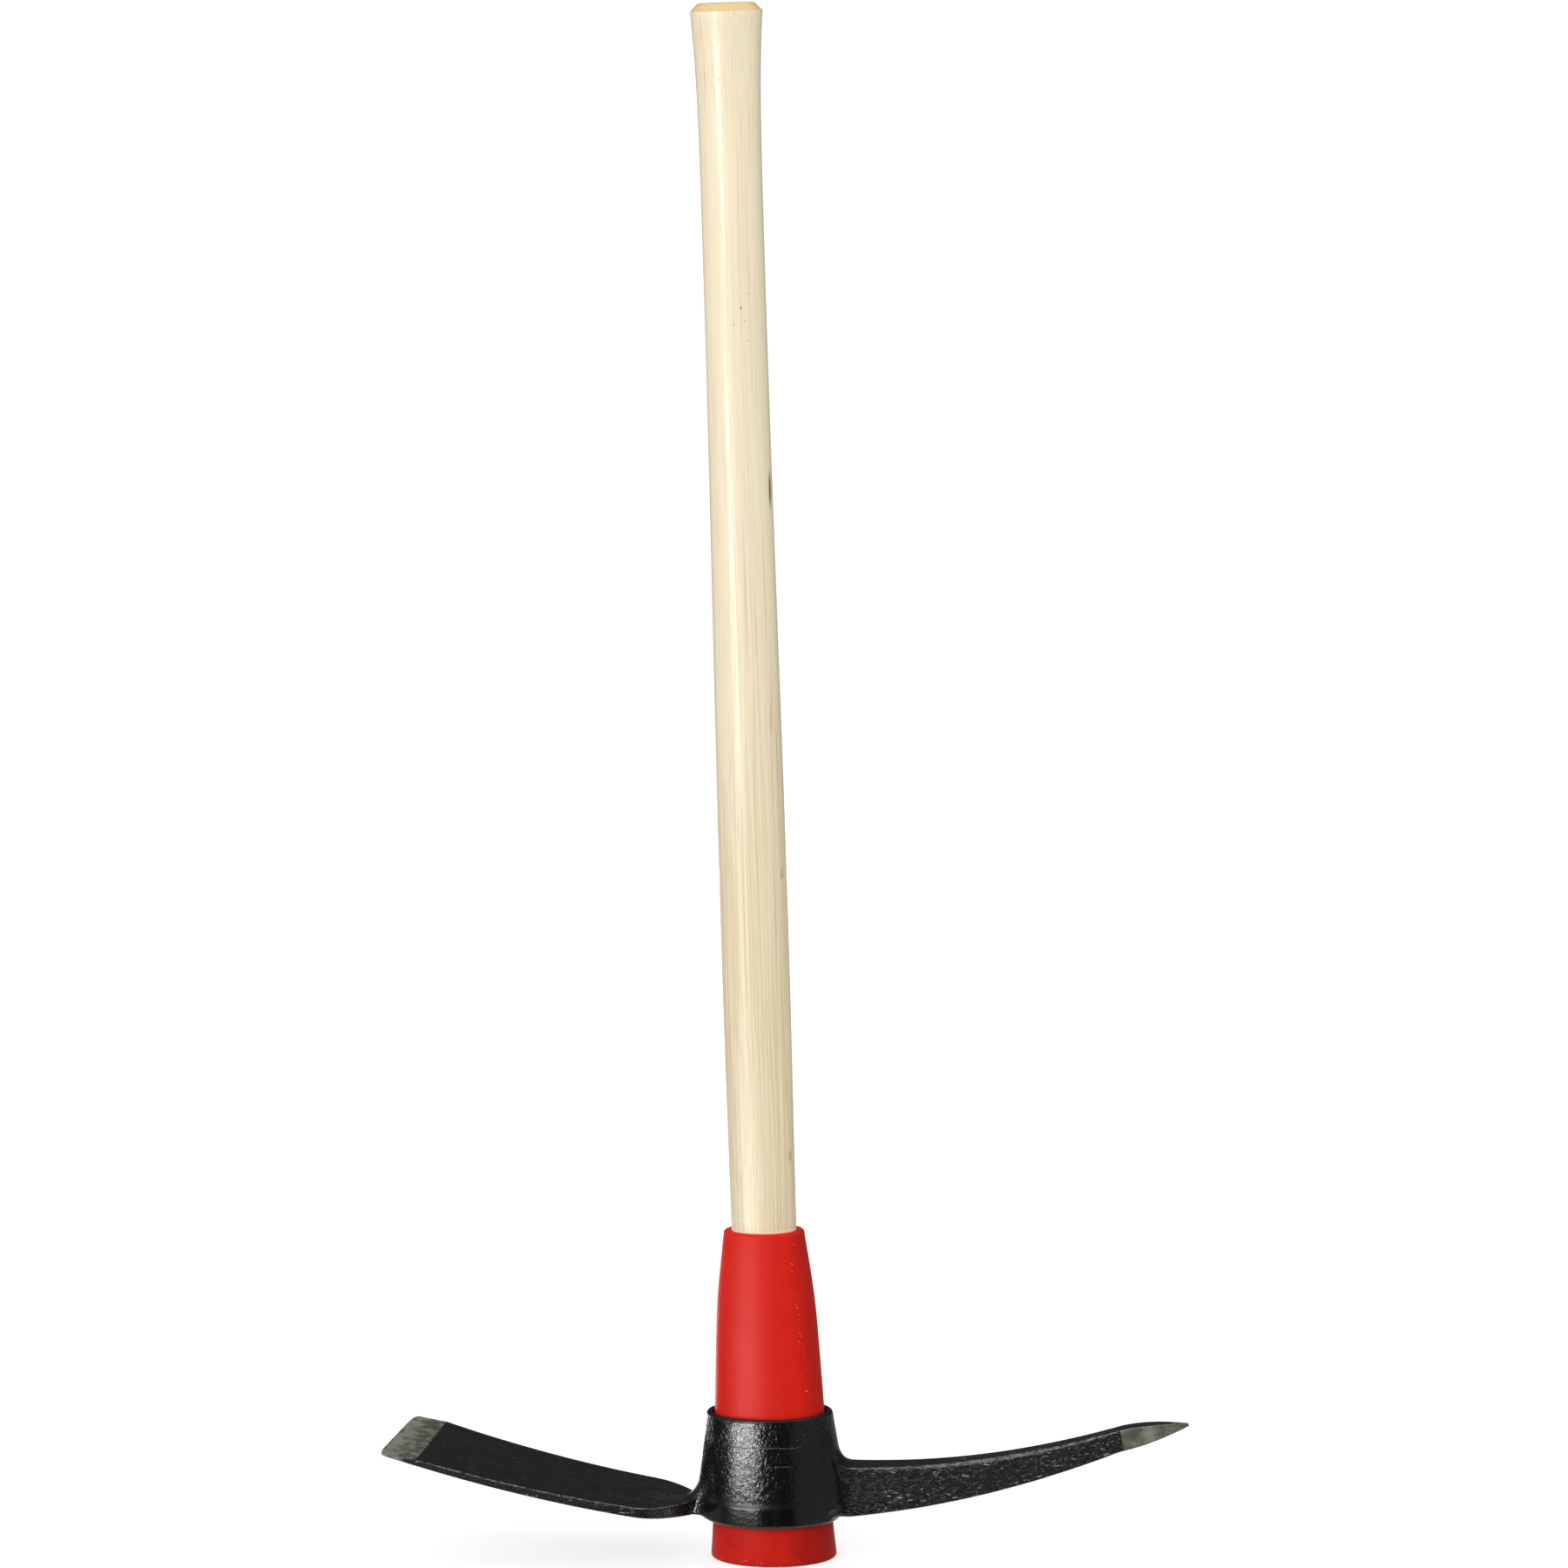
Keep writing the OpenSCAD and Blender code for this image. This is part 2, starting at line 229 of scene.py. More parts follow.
def handle_profile(handle, sleeve):
    """Half profile of the handle, from the middle of its foot to the middle of its grip end."""
    soft = CHAMFER_SOFT
    knob_height = handle.total - handle.chamfer
    shaft_end = knob_height - soft
    z = np.concatenate([
        spread(0, sleeve.height, HIDDEN_WOOD_STEP),
        spread(sleeve.height, shaft_end, SHAFT_STEP),
    ])
    body = np.column_stack([wood_half(handle, sleeve, z), z])
    slope = np.array([-math.sqrt(0.5), math.sqrt(0.5)])
    low = np.array([handle.knob, knob_height])
    end = np.array([handle.knob - handle.chamfer, handle.total])
    # The chamfer, with one point inside each of its two edges to round them
    rim = [
        (float(wood_half(handle, sleeve, shaft_end)), shaft_end),
        low + 0.15 * soft * slope + (-0.12 * soft, 0),
        low + soft * slope,
        (low + end) / 2,
        end - soft * slope,
        end + (0.1 * soft, -0.25 * soft),
        (end[0] - soft, handle.total),
    ]
    inner = [(end[0] * k, handle.total) for k in (0.75, 0.5, 0.25, 0)]
    foot = [(float(body[0, 0]) * k, 0) for k in (0, 0.5, 0.98)]
    return np.vstack([foot, body, rim, inner])


def sleeve_profile(sleeve):
    """Closed profile of the sleeve's wall: foot, outside, rounded mouth and inside."""
    foot_edge = sleeve_half(sleeve, LIP_ROUND) - LIP_ROUND
    rim_low = sleeve.height - MOUTH_ROUND
    rim = sleeve_half(sleeve, rim_low)
    turn = quarter(ROUND_STEPS)
    across, along = np.sin(turn), 1 - np.cos(turn)
    lip = np.column_stack([foot_edge + LIP_ROUND * across, LIP_ROUND * along])
    z = spread(LIP_ROUND, rim_low, SLEEVE_STEP)[1:]
    outside = np.column_stack([sleeve_half(sleeve, z), z])
    mouth = np.column_stack([rim - MOUTH_ROUND * along, rim_low + MOUTH_ROUND * across])
    throat = sleeve_half(sleeve, sleeve.height) - sleeve.wall
    lead = np.column_stack(
        [throat + THROAT_ROUND * (1 - across), sleeve.height - THROAT_ROUND * along]
    )
    z = spread(0, sleeve.height - THROAT_ROUND, HIDDEN_WALL_STEP)[::-1]
    inside = np.column_stack([sleeve_half(sleeve, z) - sleeve.wall, z])
    return np.vstack([lip, outside, mouth, lead, inside])


# Forged head. Heights h are above the lower rim of the eye.

EYE_ROUND_TOP = 1.8 * MM
EYE_ROUND_LOW = 2.0 * MM
MOUTH_FLARE = 0.8 * MM
BAND_HEIGHT = 12.4 * MM
BAND_BEVEL = 3.4 * MM
KEEL_TIP = 0.4 * MM
KEEL_CORE = 4 * MM
KEEL_FLANK = 10 * MM
KEEL_INSET = 5 * MM
KEEL_SINK = 2 * MM
KEEL_WEB = 7 * MM
WEB_FADE = 9 * MM
NECK_WEB_DROP = 4 * MM
ADZE_CORNER = 17 * MM
PICK_CORNER = 13.5 * MM
FLUTE_ANGLE = math.radians(35)
FLUTE_SPREAD = math.radians(13)
FLUTE_CREST = 1.5
FLUTE_SKEW = 0.7
FLUTE_LOW = 13 * MM
FLUTE_HIGH = 50 * MM
EYE_SAMPLES = 4001
EYE_COLUMNS = 168
HOLE_COLUMNS = 10
EYE_STEP = 1.5 * MM
BORE_STEP = 12 * MM
RIM_STEPS = 4
BRIDGE_RINGS = 9
BRIDGE_PULL = 1.65
BRIDGE_LEAST = 0.1
BRIDGE_LIMIT = 1.17
BRIDGE_RELAX = 5
CORNER_BLUR = 4

# Values that every point of the head's skin carries, and what they are where none is given: how
# rubbed its paint is, how rough it was forged, and how far past the edge of the paint it lies
SKIN_VALUES = {"wear": 0, "forged": 0, "bare": -1}
BAND_FORGED = 0.25
BORE_FORGED = 0.1
BRIDGE_FORGED = 0.8
RIM_WEAR = 0.5
RIM_SMOOTHING = 0.7
BRIDGE_WEAR = 0.6
END_WEAR = 0.5
LOW_EDGE_WEAR = 0.7
TOP_EDGE_WEAR = 0.95
WEAR_FADE = 0.4

ARM_ROOT = 50 * MM
NECK_LOW = 2.8 * MM
SHOULDER = 30 * MM
ADZE_SLOPE = 0.135
EDGE_THICK = 0.5 * MM
EDGE_BOW = 3.4 * MM
EDGE_BOW_POWER = 2.4
EDGE_FLAT = 0.6
ADZE_ROUND = 0.9 * MM
ADZE_LEAD = 7.5 * MM
BEVEL_SLANT = 1.4 * MM
LEAD_FADE = 18 * MM

PICK_MIDDLE = 19.2 * MM
PICK_SLOPE = 0.0579
PICK_ROUND = 0.9 * MM
PICK_CHAMFER = 1.6 * MM
CHAMFER_FLAT = 0.7
PICK_LEAD = 3 * MM
GROUND_SLANT = 1.6 * MM
POINT_HALF = 0.8 * MM
POINT_TALL = 1.6 * MM
POINT_POWER = 1.9


class HeadForm:
    """Surfaces of the forged head, from its sizes."""

    def __init__(self, head, sleeve, oval):
        self.head, self.sleeve, self.oval = head, sleeve, oval
        self.adze_run = head.adze_reach - ARM_ROOT
        self.bevel_start = self.adze_run - head.bevel
        self.pick_run = head.pick_reach - ARM_ROOT
        self.ground_start = self.pick_run - head.ground
        self.neck_top = NECK_LOW + head.neck_thick
        self.pick_low = PICK_MIDDLE - head.pick_tall / 2
        self.pick_top = PICK_MIDDLE + head.pick_tall / 2

    def bore(self, h):
        """Half width of the eye's bore at height h."""
        return sleeve_half(self.sleeve, self.head.bottom + h) + self.head.gap

    def keel(self, y, h, low, top, half, radius):
        """How far a keel, or the web beside the arm under it, stands out of the eye's oval."""
        foot, off = top - KEEL_SINK, np.abs(y)
        web = ease(0, KEEL_WEB, (h - low) / KEEL_WEB) * ease(1, 0, (h - foot + WEB_FADE) / (2 * WEB_FADE))
        web = web * ease(1, 0, (off - half + KEEL_INSET) / (KEEL_INSET + KEEL_WEB))
        above = ease(0, 1, (h - foot) / radius)
        reach = (KEEL_TIP + self.head.lean * (self.head.tall - h)) * above
        core = mix(half - KEEL_INSET, KEEL_CORE, above)
        edge = mix(half, KEEL_CORE + KEEL_FLANK, above)
        return np.maximum(web, reach * ease(1, 0, (off - core) / (edge - core)))

    def eye(self, t, h):
        """Points of the eye's outside at turns t and height h."""
        head = self.head
        out = (
            head.wall
            + ease(head.band, 0, (h - BAND_HEIGHT) / BAND_BEVEL)
            - corner_reach(EYE_ROUND_LOW, h)
            - corner_reach(EYE_ROUND_TOP, head.tall - h)
        )
        a, b = self.bore(h) + out, self.oval * self.bore(h) + out
        y = b * np.sin(t)
        keel = np.where(
            np.cos(t) > 0,
            self.keel(y, h, self.pick_low, self.pick_top, head.pick_root, PICK_CORNER),
            -self.keel(y, h, NECK_LOW - NECK_WEB_DROP, self.neck_top, head.neck, ADZE_CORNER),
        )
        run = np.clip((h - FLUTE_LOW) / (FLUTE_HIGH - FLUTE_LOW), 0, 1)
        off = (np.abs(t - math.pi) - FLUTE_ANGLE) / FLUTE_SPREAD
        hollow = ease(1, 0, np.maximum(off * FLUTE_CREST, -off))
        flute = head.flute * np.sin(math.pi * run**FLUTE_SKEW) * hollow
        x = (a - flute) * np.cos(t) + keel
        return np.column_stack([x, (b - flute) * np.sin(t), np.full_like(t, h)])

    def adze_half(self, d):
        """Half width of the adze at d, the distance from its neck."""
        head = self.head
        shoulder = np.clip(1 - d / SHOULDER, 0, 1)
        full = mix(head.adze_shoulder, head.adze_bevel, (d - SHOULDER) / (self.bevel_start - SHOULDER))
        bow = np.clip(d - self.adze_run + EDGE_BOW, 0, EDGE_BOW) / EDGE_BOW
        rounded = (1 - bow**EDGE_BOW_POWER) ** (1 / EDGE_BOW_POWER)
        return mix(full, head.neck, shoulder**2) * mix(EDGE_FLAT, 1, rounded)

    def adze_low(self, d):
        """Height of the adze's underside at d."""
        run = np.clip(d, 0, None)
        bend = self.head.adze_rise - ADZE_SLOPE * self.adze_run
        return NECK_LOW + ADZE_SLOPE * run + bend * (run / self.adze_run) ** 2

    def adze_thick(self, d):
        """Thickness of the adze at d."""
        head = self.head
        run = np.clip(d, 0, None)
        along = mix(head.blade_thick, head.bevel_thick, run / self.bevel_start)
        neck = (head.neck_thick - head.blade_thick) * np.clip(1 - run / SHOULDER, 0, None) ** 2
        ground = mix(head.bevel_thick, EDGE_THICK, (d - self.bevel_start) / head.bevel)
        return np.where(d < self.bevel_start, along + neck, ground)

    def adze_top(self, d):
        """Height of the adze's top at d."""
        return self.adze_low(d) + self.adze_thick(d)

    def pick_size(self, d, root, end, point):
        """A size of the pick at d: straight from root to end, then rounded off to its point."""
        along = np.clip(d / self.ground_start, 0, 1)
        left = 1 - (np.clip(d - self.ground_start, 0, None) / self.head.ground) ** POINT_POWER
        return np.where(d < self.ground_start, mix(root, end, along), mix(point, end, left))

    def pick_line(self, d):
        """Height of the pick's middle line at d."""
        run = np.clip(d, 0, self.ground_start)
        bend = self.head.pick_rise - PICK_SLOPE * self.ground_start
        tip = np.clip(d - self.ground_start, 0, None) / self.head.ground
        curve = PICK_MIDDLE + PICK_SLOPE * run + bend * (run / self.ground_start) ** 2
        return curve + self.head.ground_rise * tip

    def adze_section(self, d):
        """Half width, low and high side, the two corners and how round the upper ones are."""
        low, thick = self.adze_low(d), self.adze_thick(d)
        corner = min(ADZE_ROUND, thick / 4)
        return self.adze_half(d), low, low + thick, corner, corner, 1.0

    def pick_section(self, d):
        """The same for the pick, whose upper corners are chamfered along its middle."""
        head = self.head
        half = self.pick_size(d, head.pick_root, head.pick_end, POINT_HALF)
        tall = self.pick_size(d, head.pick_tall, head.pick_end_tall, POINT_TALL)
        low = self.pick_line(d) - tall / 2
        along = np.sin(math.pi * np.clip(d / self.ground_start, 0, 1))
        corner = min(PICK_ROUND, half / 4)
        chamfer = corner + PICK_CHAMFER * along
        return half, low, low + tall, corner, chamfer, 1 - CHAMFER_FLAT * along


# Points of a corner from its middle to its end, along and across an edge, as shares of its size
FLAT_CORNER = np.array(((0.5, 0.5), (0.75, 0.25), (1.0, 0.0)))
ROUND_CORNER = np.array(((0.293, 0.293), (0.617, 0.076), (1.0, 0.0)))


def corner_points(size, bulge):
    """Offsets along and across an edge of a corner's points, from flat to round."""
    return size * mix(FLAT_CORNER, ROUND_CORNER, bulge)


def section_ring(section, across, up):
    """Rounded rectangle of an arm as points (y, h): bottom, near side up, top, far side down."""
    half, low, high, low_corner, high_corner, bulge = section
    corners = np.array([(-half, low), (half, low), (half, high), (-half, high)])
    offsets = [corner_points(low_corner, 1.0)] * 2 + [corner_points(high_corner, bulge)] * 2
    ways = np.array([(1, 0), (0, 1), (-1, 0), (0, -1)])
    points = []
    for k, count in enumerate((across, up, across, up)):
        after = (k + 1) % 4
        along, inward = ways[k], ways[after]
        start = [corners[k] + along * a + inward * b for a, b in offsets[k]]
        stop = [corners[after] - along * a + inward * b for a, b in offsets[after]]
        shares = [i / (count - 4) for i in range(1, count - 4)]
        points += start + [mix(start[2], stop[2], u) for u in shares] + [stop[2], stop[1]]
    return np.array(points)


class Skin:
    """Collects the points, faces and surface values of one closed skin."""

    def __init__(self):
        self.points, self.faces, self.marks, self.count = [], [], [], 0

    def add(self, points, **marks):
        """Adds points, each with its wear, forged and bare values, and returns their numbers."""
        size = len(points)
        values = [np.broadcast_to(marks.get(name, unset), size) for name, unset in SKIN_VALUES.items()]
        self.points.append(np.asarray(points, float))
        self.marks.append(np.column_stack(values))
        numbers = np.arange(self.count, self.count + size)
        self.count += size
        return numbers

    def strip(self, a, b):
        """Faces between two closed rings of equal length."""
        a2, b2 = np.roll(a, -1), np.roll(b, -1)
        self.faces += np.column_stack([a, a2, b2, b]).tolist()

    def mesh(self, name):
        """Mesh of the collected skin, without loose points and with outward faces."""
        points, marks = np.vstack(self.points), np.vstack(self.marks)
        used = np.unique(np.array(self.faces))
        renumber = np.zeros(len(points), int)
        renumber[used] = np.arange(len(used))
        made = bpy.data.meshes.new(name)
        made.from_pydata(points[used].tolist(), [], renumber[np.array(self.faces)].tolist())
        for k, value in enumerate(SKIN_VALUES):
            attribute = made.attributes.new(value, "FLOAT", "POINT")
            attribute.data.foreach_set("value", marks[used, k].astype(np.float32))
        face_outwards(made)
        return made


def face_outwards(mesh):
    """Turns every face of a closed mesh outwards."""
    work = bmesh.new()
    work.from_mesh(mesh)
    bmesh.ops.recalc_face_normals(work, faces=work.faces)
    work.to_mesh(mesh)
    work.free()


def unit(v):
    """Rows of v at length 1."""
    return v / np.linalg.norm(v, axis=1, keepdims=True)


def eye_turns(form):
    """Turns of the eye's columns, evenly spaced round its oval, the first at the pick."""
    fine = np.linspace(0, 2 * math.pi, EYE_SAMPLES)
    half = form.bore(form.head.tall / 2) + form.head.wall
    deep = form.oval * form.bore(form.head.tall / 2) + form.head.wall
    step = np.hypot(half * np.sin(fine), deep * np.cos(fine))
    run = np.concatenate([[0], np.cumsum((step[1:] + step[:-1]) / 2)])
    return np.interp(np.arange(EYE_COLUMNS) / EYE_COLUMNS * run[-1], run, fine)


def eye_heights(form):
    """Heights of the eye's outer rows, and of those where the openings for adze and pick end."""
    tall = form.head.tall
    rim = 1 - np.cos(quarter(RIM_STEPS))
    band_top = BAND_HEIGHT + BAND_BEVEL
    adze_row = form.neck_top - KEEL_SINK + ADZE_CORNER
    pick_row = form.pick_top - KEEL_SINK + PICK_CORNER
    return np.concatenate([
        EYE_ROUND_LOW * rim[:-1],
        spread(EYE_ROUND_LOW, BAND_HEIGHT, EYE_STEP),
        spread(BAND_HEIGHT, band_top, BAND_BEVEL / 4),
        spread(band_top, adze_row, EYE_STEP),
        spread(adze_row, pick_row, EYE_STEP),
        spread(pick_row, tall - EYE_ROUND_TOP, EYE_STEP),
        tall - EYE_ROUND_TOP * rim[::-1],
    ]), adze_row, pick_row


def corner_wear(across, up):
    """Wear of an arm's ring: 1 on its four corners, fading to the flats, wider along the top."""
    size = 2 * (across + up)
    wear = np.zeros(size)
    corners = (0, across, across + up, 2 * across + up)
    sides = (LOW_EDGE_WEAR, LOW_EDGE_WEAR, TOP_EDGE_WEAR, TOP_EDGE_WEAR)
    for corner, side in zip(corners, sides):
        for step, value in enumerate((1.0, side, side - WEAR_FADE)):
            wear[[(corner + step) % size, (corner - step) % size]] = value
    return wear


def add_eye(skin, form, heights):
    """Rows of the eye, up its outside and down its bore, and the points of the outside."""
    turns, tall = eye_turns(form), form.head.tall
    rows, grid = [], []
    for h in heights:
        ring = form.eye(turns, h)
        rough = ease(BAND_FORGED, 1, (h - BAND_HEIGHT) / (2 * BAND_BEVEL))
        rim = max(ease(1, 0, h / EYE_ROUND_LOW), ease(1, 0, (tall - h) / EYE_ROUND_TOP))
        rows.append(skin.add(ring, forged=rough * (1 - RIM_SMOOTHING * rim), wear=RIM_WEAR * rim))
        grid.append(ring)
    down = spread(MOUTH_FLARE, tall - MOUTH_FLARE, BORE_STEP)[::-1]
    for h in (tall, tall - MOUTH_FLARE, *down, 0.0):
        half = form.bore(h) + (MOUTH_FLARE if h in (tall, 0) else 0)
        x, y = half * np.cos(turns), form.oval * half * np.sin(turns)
        rows.append(skin.add(np.column_stack([x, y, np.full_like(turns, h)]), forged=BORE_FORGED))
    return rows, np.array(grid)


def opening_loop(grid, low, top, columns, step):
    """Rows and columns round an arm's opening in the eye, and the ways from them into it."""
    first, last = columns[0], columns[-1]
    loop = [(low, c) for c in columns[:-1]]
    loop += [(r, last) for r in range(low, top)]
    loop += [(top, c) for c in columns[:0:-1]]
    loop += [(r, first) for r in range(top, low, -1)]
    inward = np.zeros((len(loop), 3))
    for k, (r, c) in enumerate(loop):
        beyond = []
        if r in (low, top):
            beyond.append(grid[r - 1 if r == low else r + 1, c])
        if c in (first, last):
            beyond.append(grid[r, (c - step if c == first else c + step) % EYE_COLUMNS])
        inward[k] = unit(unit(grid[r, c] - np.array(beyond)).sum(0)[None])[0]
    blurred = sum(np.roll(inward, k, 0) for k in range(-CORNER_BLUR, CORNER_BLUR + 1))
    return loop, unit(blurred)


def opened_faces(low, top, columns):
    """Faces of the eye's grid that an opening takes out, by row and first column."""
    first = [min(a, b) if abs(a - b) == 1 else max(a, b) for a, b in zip(columns, columns[1:])]
    return {(r, c) for r in range(low, top) for c in first}


def build_head(form):
    """Skin of the head: the eye's grid with two openings, each bridged to its arm."""
    skin = Skin()
    heights, adze_row, pick_row = eye_heights(form)
    rows, grid = add_eye(skin, form, heights)
    arms = (
        (EYE_COLUMNS // 2 + HOLE_COLUMNS, -1, adze_row, adze_rings),
        (-HOLE_COLUMNS, 1, pick_row, pick_rings),
    )
    low = int(np.argmin(np.abs(heights - EYE_ROUND_LOW)))
    opened = set()
    for first, step, top_height, rings in arms:
        top = int(np.argmin(np.abs(heights - top_height)))
        across, up = 2 * HOLE_COLUMNS, top - low
        columns = [(first + step * k) % EYE_COLUMNS for k in range(across + 1)]
        opened |= opened_faces(low, top, columns)
        loop, inward = opening_loop(grid, low, top, columns, step)
        numbers = np.array([rows[r][c] for r, c in loop])
        start = np.array([grid[r, c] for r, c in loop])
        points, forged, bare = rings(form, across, up)
        points[..., 0] = step * (ARM_ROOT + points[..., 0])
        bridge_arm(skin, numbers, start, inward, (points, forged, bare), across, up)
    for r, row in enumerate(rows):
        after = rows[(r + 1) % len(rows)]
        for c in range(EYE_COLUMNS):
            if (r, c) not in opened:
                n = (c + 1) % EYE_COLUMNS
                skin.faces.append([row[c], row[n], after[n], after[c]])
    made = skin.mesh("head_forging")
    made.transform(Matrix.Translation((0, 0, form.head.bottom)))
    return made


def bridge_arm(skin, loop, start, inward, arm, across, up):
    """Joins an opening of the eye to an arm's rings with a smooth fillet and closes the arm's end."""
    points, forged, bare = arm
    wear = corner_wear(across, up)
    stop, outward = points[0], unit(points[1] - points[0])
    reach = np.linalg.norm(stop - start, axis=1, keepdims=True)
    way = (stop - start) / reach
    pulls = []
    for along in (inward, outward):
        aligned = (way * along).sum(1, keepdims=True)
        pulls.append(np.clip(BRIDGE_PULL * aligned, BRIDGE_LEAST, BRIDGE_LIMIT) * reach * along)
    # Cubic curves that leave the eye and meet the arm in their own directions
    u = (np.arange(BRIDGE_RINGS + 2) / (BRIDGE_RINGS + 1))[:, None, None]
    web = (
        (2 * u**3 - 3 * u**2 + 1) * start
        + (u**3 - 2 * u**2 + u) * pulls[0]
        + (3 * u**2 - 2 * u**3) * stop
        + (u**3 - u**2) * pulls[1]
    )
    for _ in range(BRIDGE_RELAX):
        beside = (np.roll(web, 1, 1) + np.roll(web, -1, 1))[1:-1] + web[:-2] + web[2:]
        web[1:-1] = (web[1:-1] + beside / 4) / 2
    rows = [loop]
    for ring, near in zip(web[1:-1], u[1:-1, 0, 0]):
        rough = mix(BRIDGE_FORGED, forged, near)
        rows.append(skin.add(ring, forged=rough, wear=wear * near**2 * BRIDGE_WEAR))
    for ring, past in zip(points, bare):
        rows.append(skin.add(ring, forged=forged, wear=wear, bare=past))
    for row, after in zip(rows, rows[1:]):
        skin.strip(row, after)
    close_end(skin, rows[-1], points[-1], across, up, forged, bare[-1])


def close_end(skin, numbers, ring, across, up, forged, bare):
    """Fills an arm's last ring with a grid of faces."""
    size = len(ring)
    grid = np.zeros((across + 1, up + 1), int)
    for i in range(across + 1):
        grid[i, 0], grid[i, up] = numbers[i], numbers[(2 * across + up - i) % size]
    for j in range(up + 1):
        grid[across, j], grid[0, j] = numbers[across + j], numbers[(size - j) % size]
    for i in range(1, across):
        under, over = ring[i], ring[2 * across + up - i]
        inner = [mix(under, over, j / up) for j in range(1, up)]
        grid[i, 1:up] = skin.add(inner, forged=forged[i], bare=bare[i], wear=END_WEAR)
    for i in range(across):
        for j in range(up):
            skin.faces.append([grid[i, j], grid[i + 1, j], grid[i + 1, j + 1], grid[i, j + 1]])


# Values of an arm's faces in the order of its ring: underside, near side, top and far side. The
# paint reaches so far past the start of the bevel or of the ground end.
ADZE_FORGED = (0.3, 0.75, 0.12, 0.75)
ADZE_PAINTED = (19.5 * MM, 7 * MM, 0, 7 * MM)
PICK_FORGED = (0.5, 1.0, 0.3, 1.0)
PICK_PAINTED = (3 * MM, 0.5 * MM, 31 * MM, 0.5 * MM)

# Distances between the rings of the arms, and of the rings that keep the bevel's crease
SHOULDER_STEP = 1.8 * MM
BLADE_STEP = 5.5 * MM
BEVEL_STEP = 3 * MM
CREASE_ROOM = 1 * MM
CREASE_RINGS = np.array((-0.8, -0.3, 0.3)) * MM
EDGE_STEPS = 8
PICK_STEP = 4 * MM
GROUND_STEP = 2.5 * MM
POINT_STEP = 1.2 * MM
POINT_RUN = 6 * MM


def face_values(across, up, faces):
    """A value for each point of an arm's ring, from those of its four faces."""
    return np.repeat(np.array(faces, float), (across, up, across, up))


def arm_rings(runs, section, lead, across, up):
    """Rings of an arm as points (distance from its root, y, h), their tops ahead near the eye."""
    top = slice(across + up, 2 * across + up)
    rings = []
    for run in runs:
        shape = section(run)
        ring = section_ring(shape, across, up)
        d = np.full(len(ring), run)
        middle = np.cos(ring[top, 0] / shape[0] * math.pi / 2) ** 2
        d[top] += lead * np.clip(1 - run / LEAD_FADE, 0, 1) * middle
        rings.append(np.column_stack([d, ring]))
    return np.array(rings)


def adze_rings(form, across, up):
    """Rings of the adze from its neck to the edge, and how rough and how bare their points are."""
    start, edge = form.bevel_start, form.adze_run
    runs = np.concatenate([
        spread(0, SHOULDER, SHOULDER_STEP),
        spread(SHOULDER, start - CREASE_ROOM, BLADE_STEP),
        start + CREASE_RINGS,
        spread(start + CREASE_ROOM, edge - EDGE_BOW, BEVEL_STEP),
        edge - EDGE_BOW * (1 - np.sin(quarter(EDGE_STEPS))),
    ])
    rings = arm_rings(runs, form.adze_section, ADZE_LEAD, across, up)
    d, y, h = np.moveaxis(rings, 2, 0)
    h += form.adze_top(d) - form.adze_top(runs)[:, None]
    slant = BEVEL_SLANT * (0.5 - y / (2 * form.head.adze_bevel))
    bare = d - start + slant - face_values(across, up, ADZE_PAINTED)
    return rings, face_values(across, up, ADZE_FORGED), bare


def pick_rings(form, across, up):
    """The same for the pick, from its root to the point."""
    start, end = form.ground_start, form.pick_run
    runs = np.concatenate([
        spread(0, start, PICK_STEP),
        spread(start, end - POINT_RUN, GROUND_STEP),
        spread(end - POINT_RUN, end, POINT_STEP),
        [end],
    ])
    rings = arm_rings(runs, form.pick_section, PICK_LEAD, across, up)
    d, _, h = np.moveaxis(rings, 2, 0)
    low, high = h.min(1, keepdims=True), h.max(1, keepdims=True)
    slant = GROUND_SLANT * (1 - (h - low) / (high - low)) ** 2
    bare = d - start - slant - face_values(across, up, PICK_PAINTED)
    return rings, face_values(across, up, PICK_FORGED), bare


def read_rows(items, name, width):
    """What the items of a mesh hold under a name, one row for each."""
    flat = np.zeros(len(items) * width, np.float32)
    items.foreach_get(name, flat)
    return flat.reshape(-1, width)


# Hammered relief: heights in millimetres and the scales of their noise
DENT, DENT_SCALE = 0.05, 60
COARSE, COARSE_SCALE = 0.07, 240
FINE, FINE_SCALE = 0.06, 560
PIT, PIT_SCALE = 0.16, 330
PIT_LEVEL = 0.28
PIT_SHIFT = Vector((5, 3, 1))


def hammer(mesh):
    """Moves the head's points along their normals: soft dents, forging scale and pits."""
    points = read_rows(mesh.vertices, "co", 3).astype(float)
    normals = read_rows(mesh.vertex_normals, "vector", 3)
    forged, bare = (read_rows(mesh.attributes[name].data, "value", 1) for name in ("forged", "bare"))
    lift = np.zeros(len(points))
    for k, (rough, past) in enumerate(zip(forged[:, 0], bare[:, 0])):
        p = Vector(points[k])
        dent = DENT * noise.noise(p * DENT_SCALE)
        if past > 0:
            lift[k] = dent / 2
            continue
        scale = COARSE * noise.noise(p * COARSE_SCALE) + FINE * noise.noise(p * FINE_SCALE)
        pit = min(0.0, noise.noise(p * PIT_SCALE + PIT_SHIFT) + PIT_LEVEL) * PIT
        lift[k] = dent + rough * (scale + pit)
    points += normals * lift[:, None] * MM
    mesh.vertices.foreach_set("co", points.astype(np.float32).ravel())
    mesh.update()


# Node trees


def plain(operation):
    """An operator of Socket that adds a Math node."""
    return lambda self, other: self.net.math(operation, self, other)


def reflected(operation):
    """The same for a number in front of the socket."""
    return lambda self, other: self.net.math(operation, other, self)


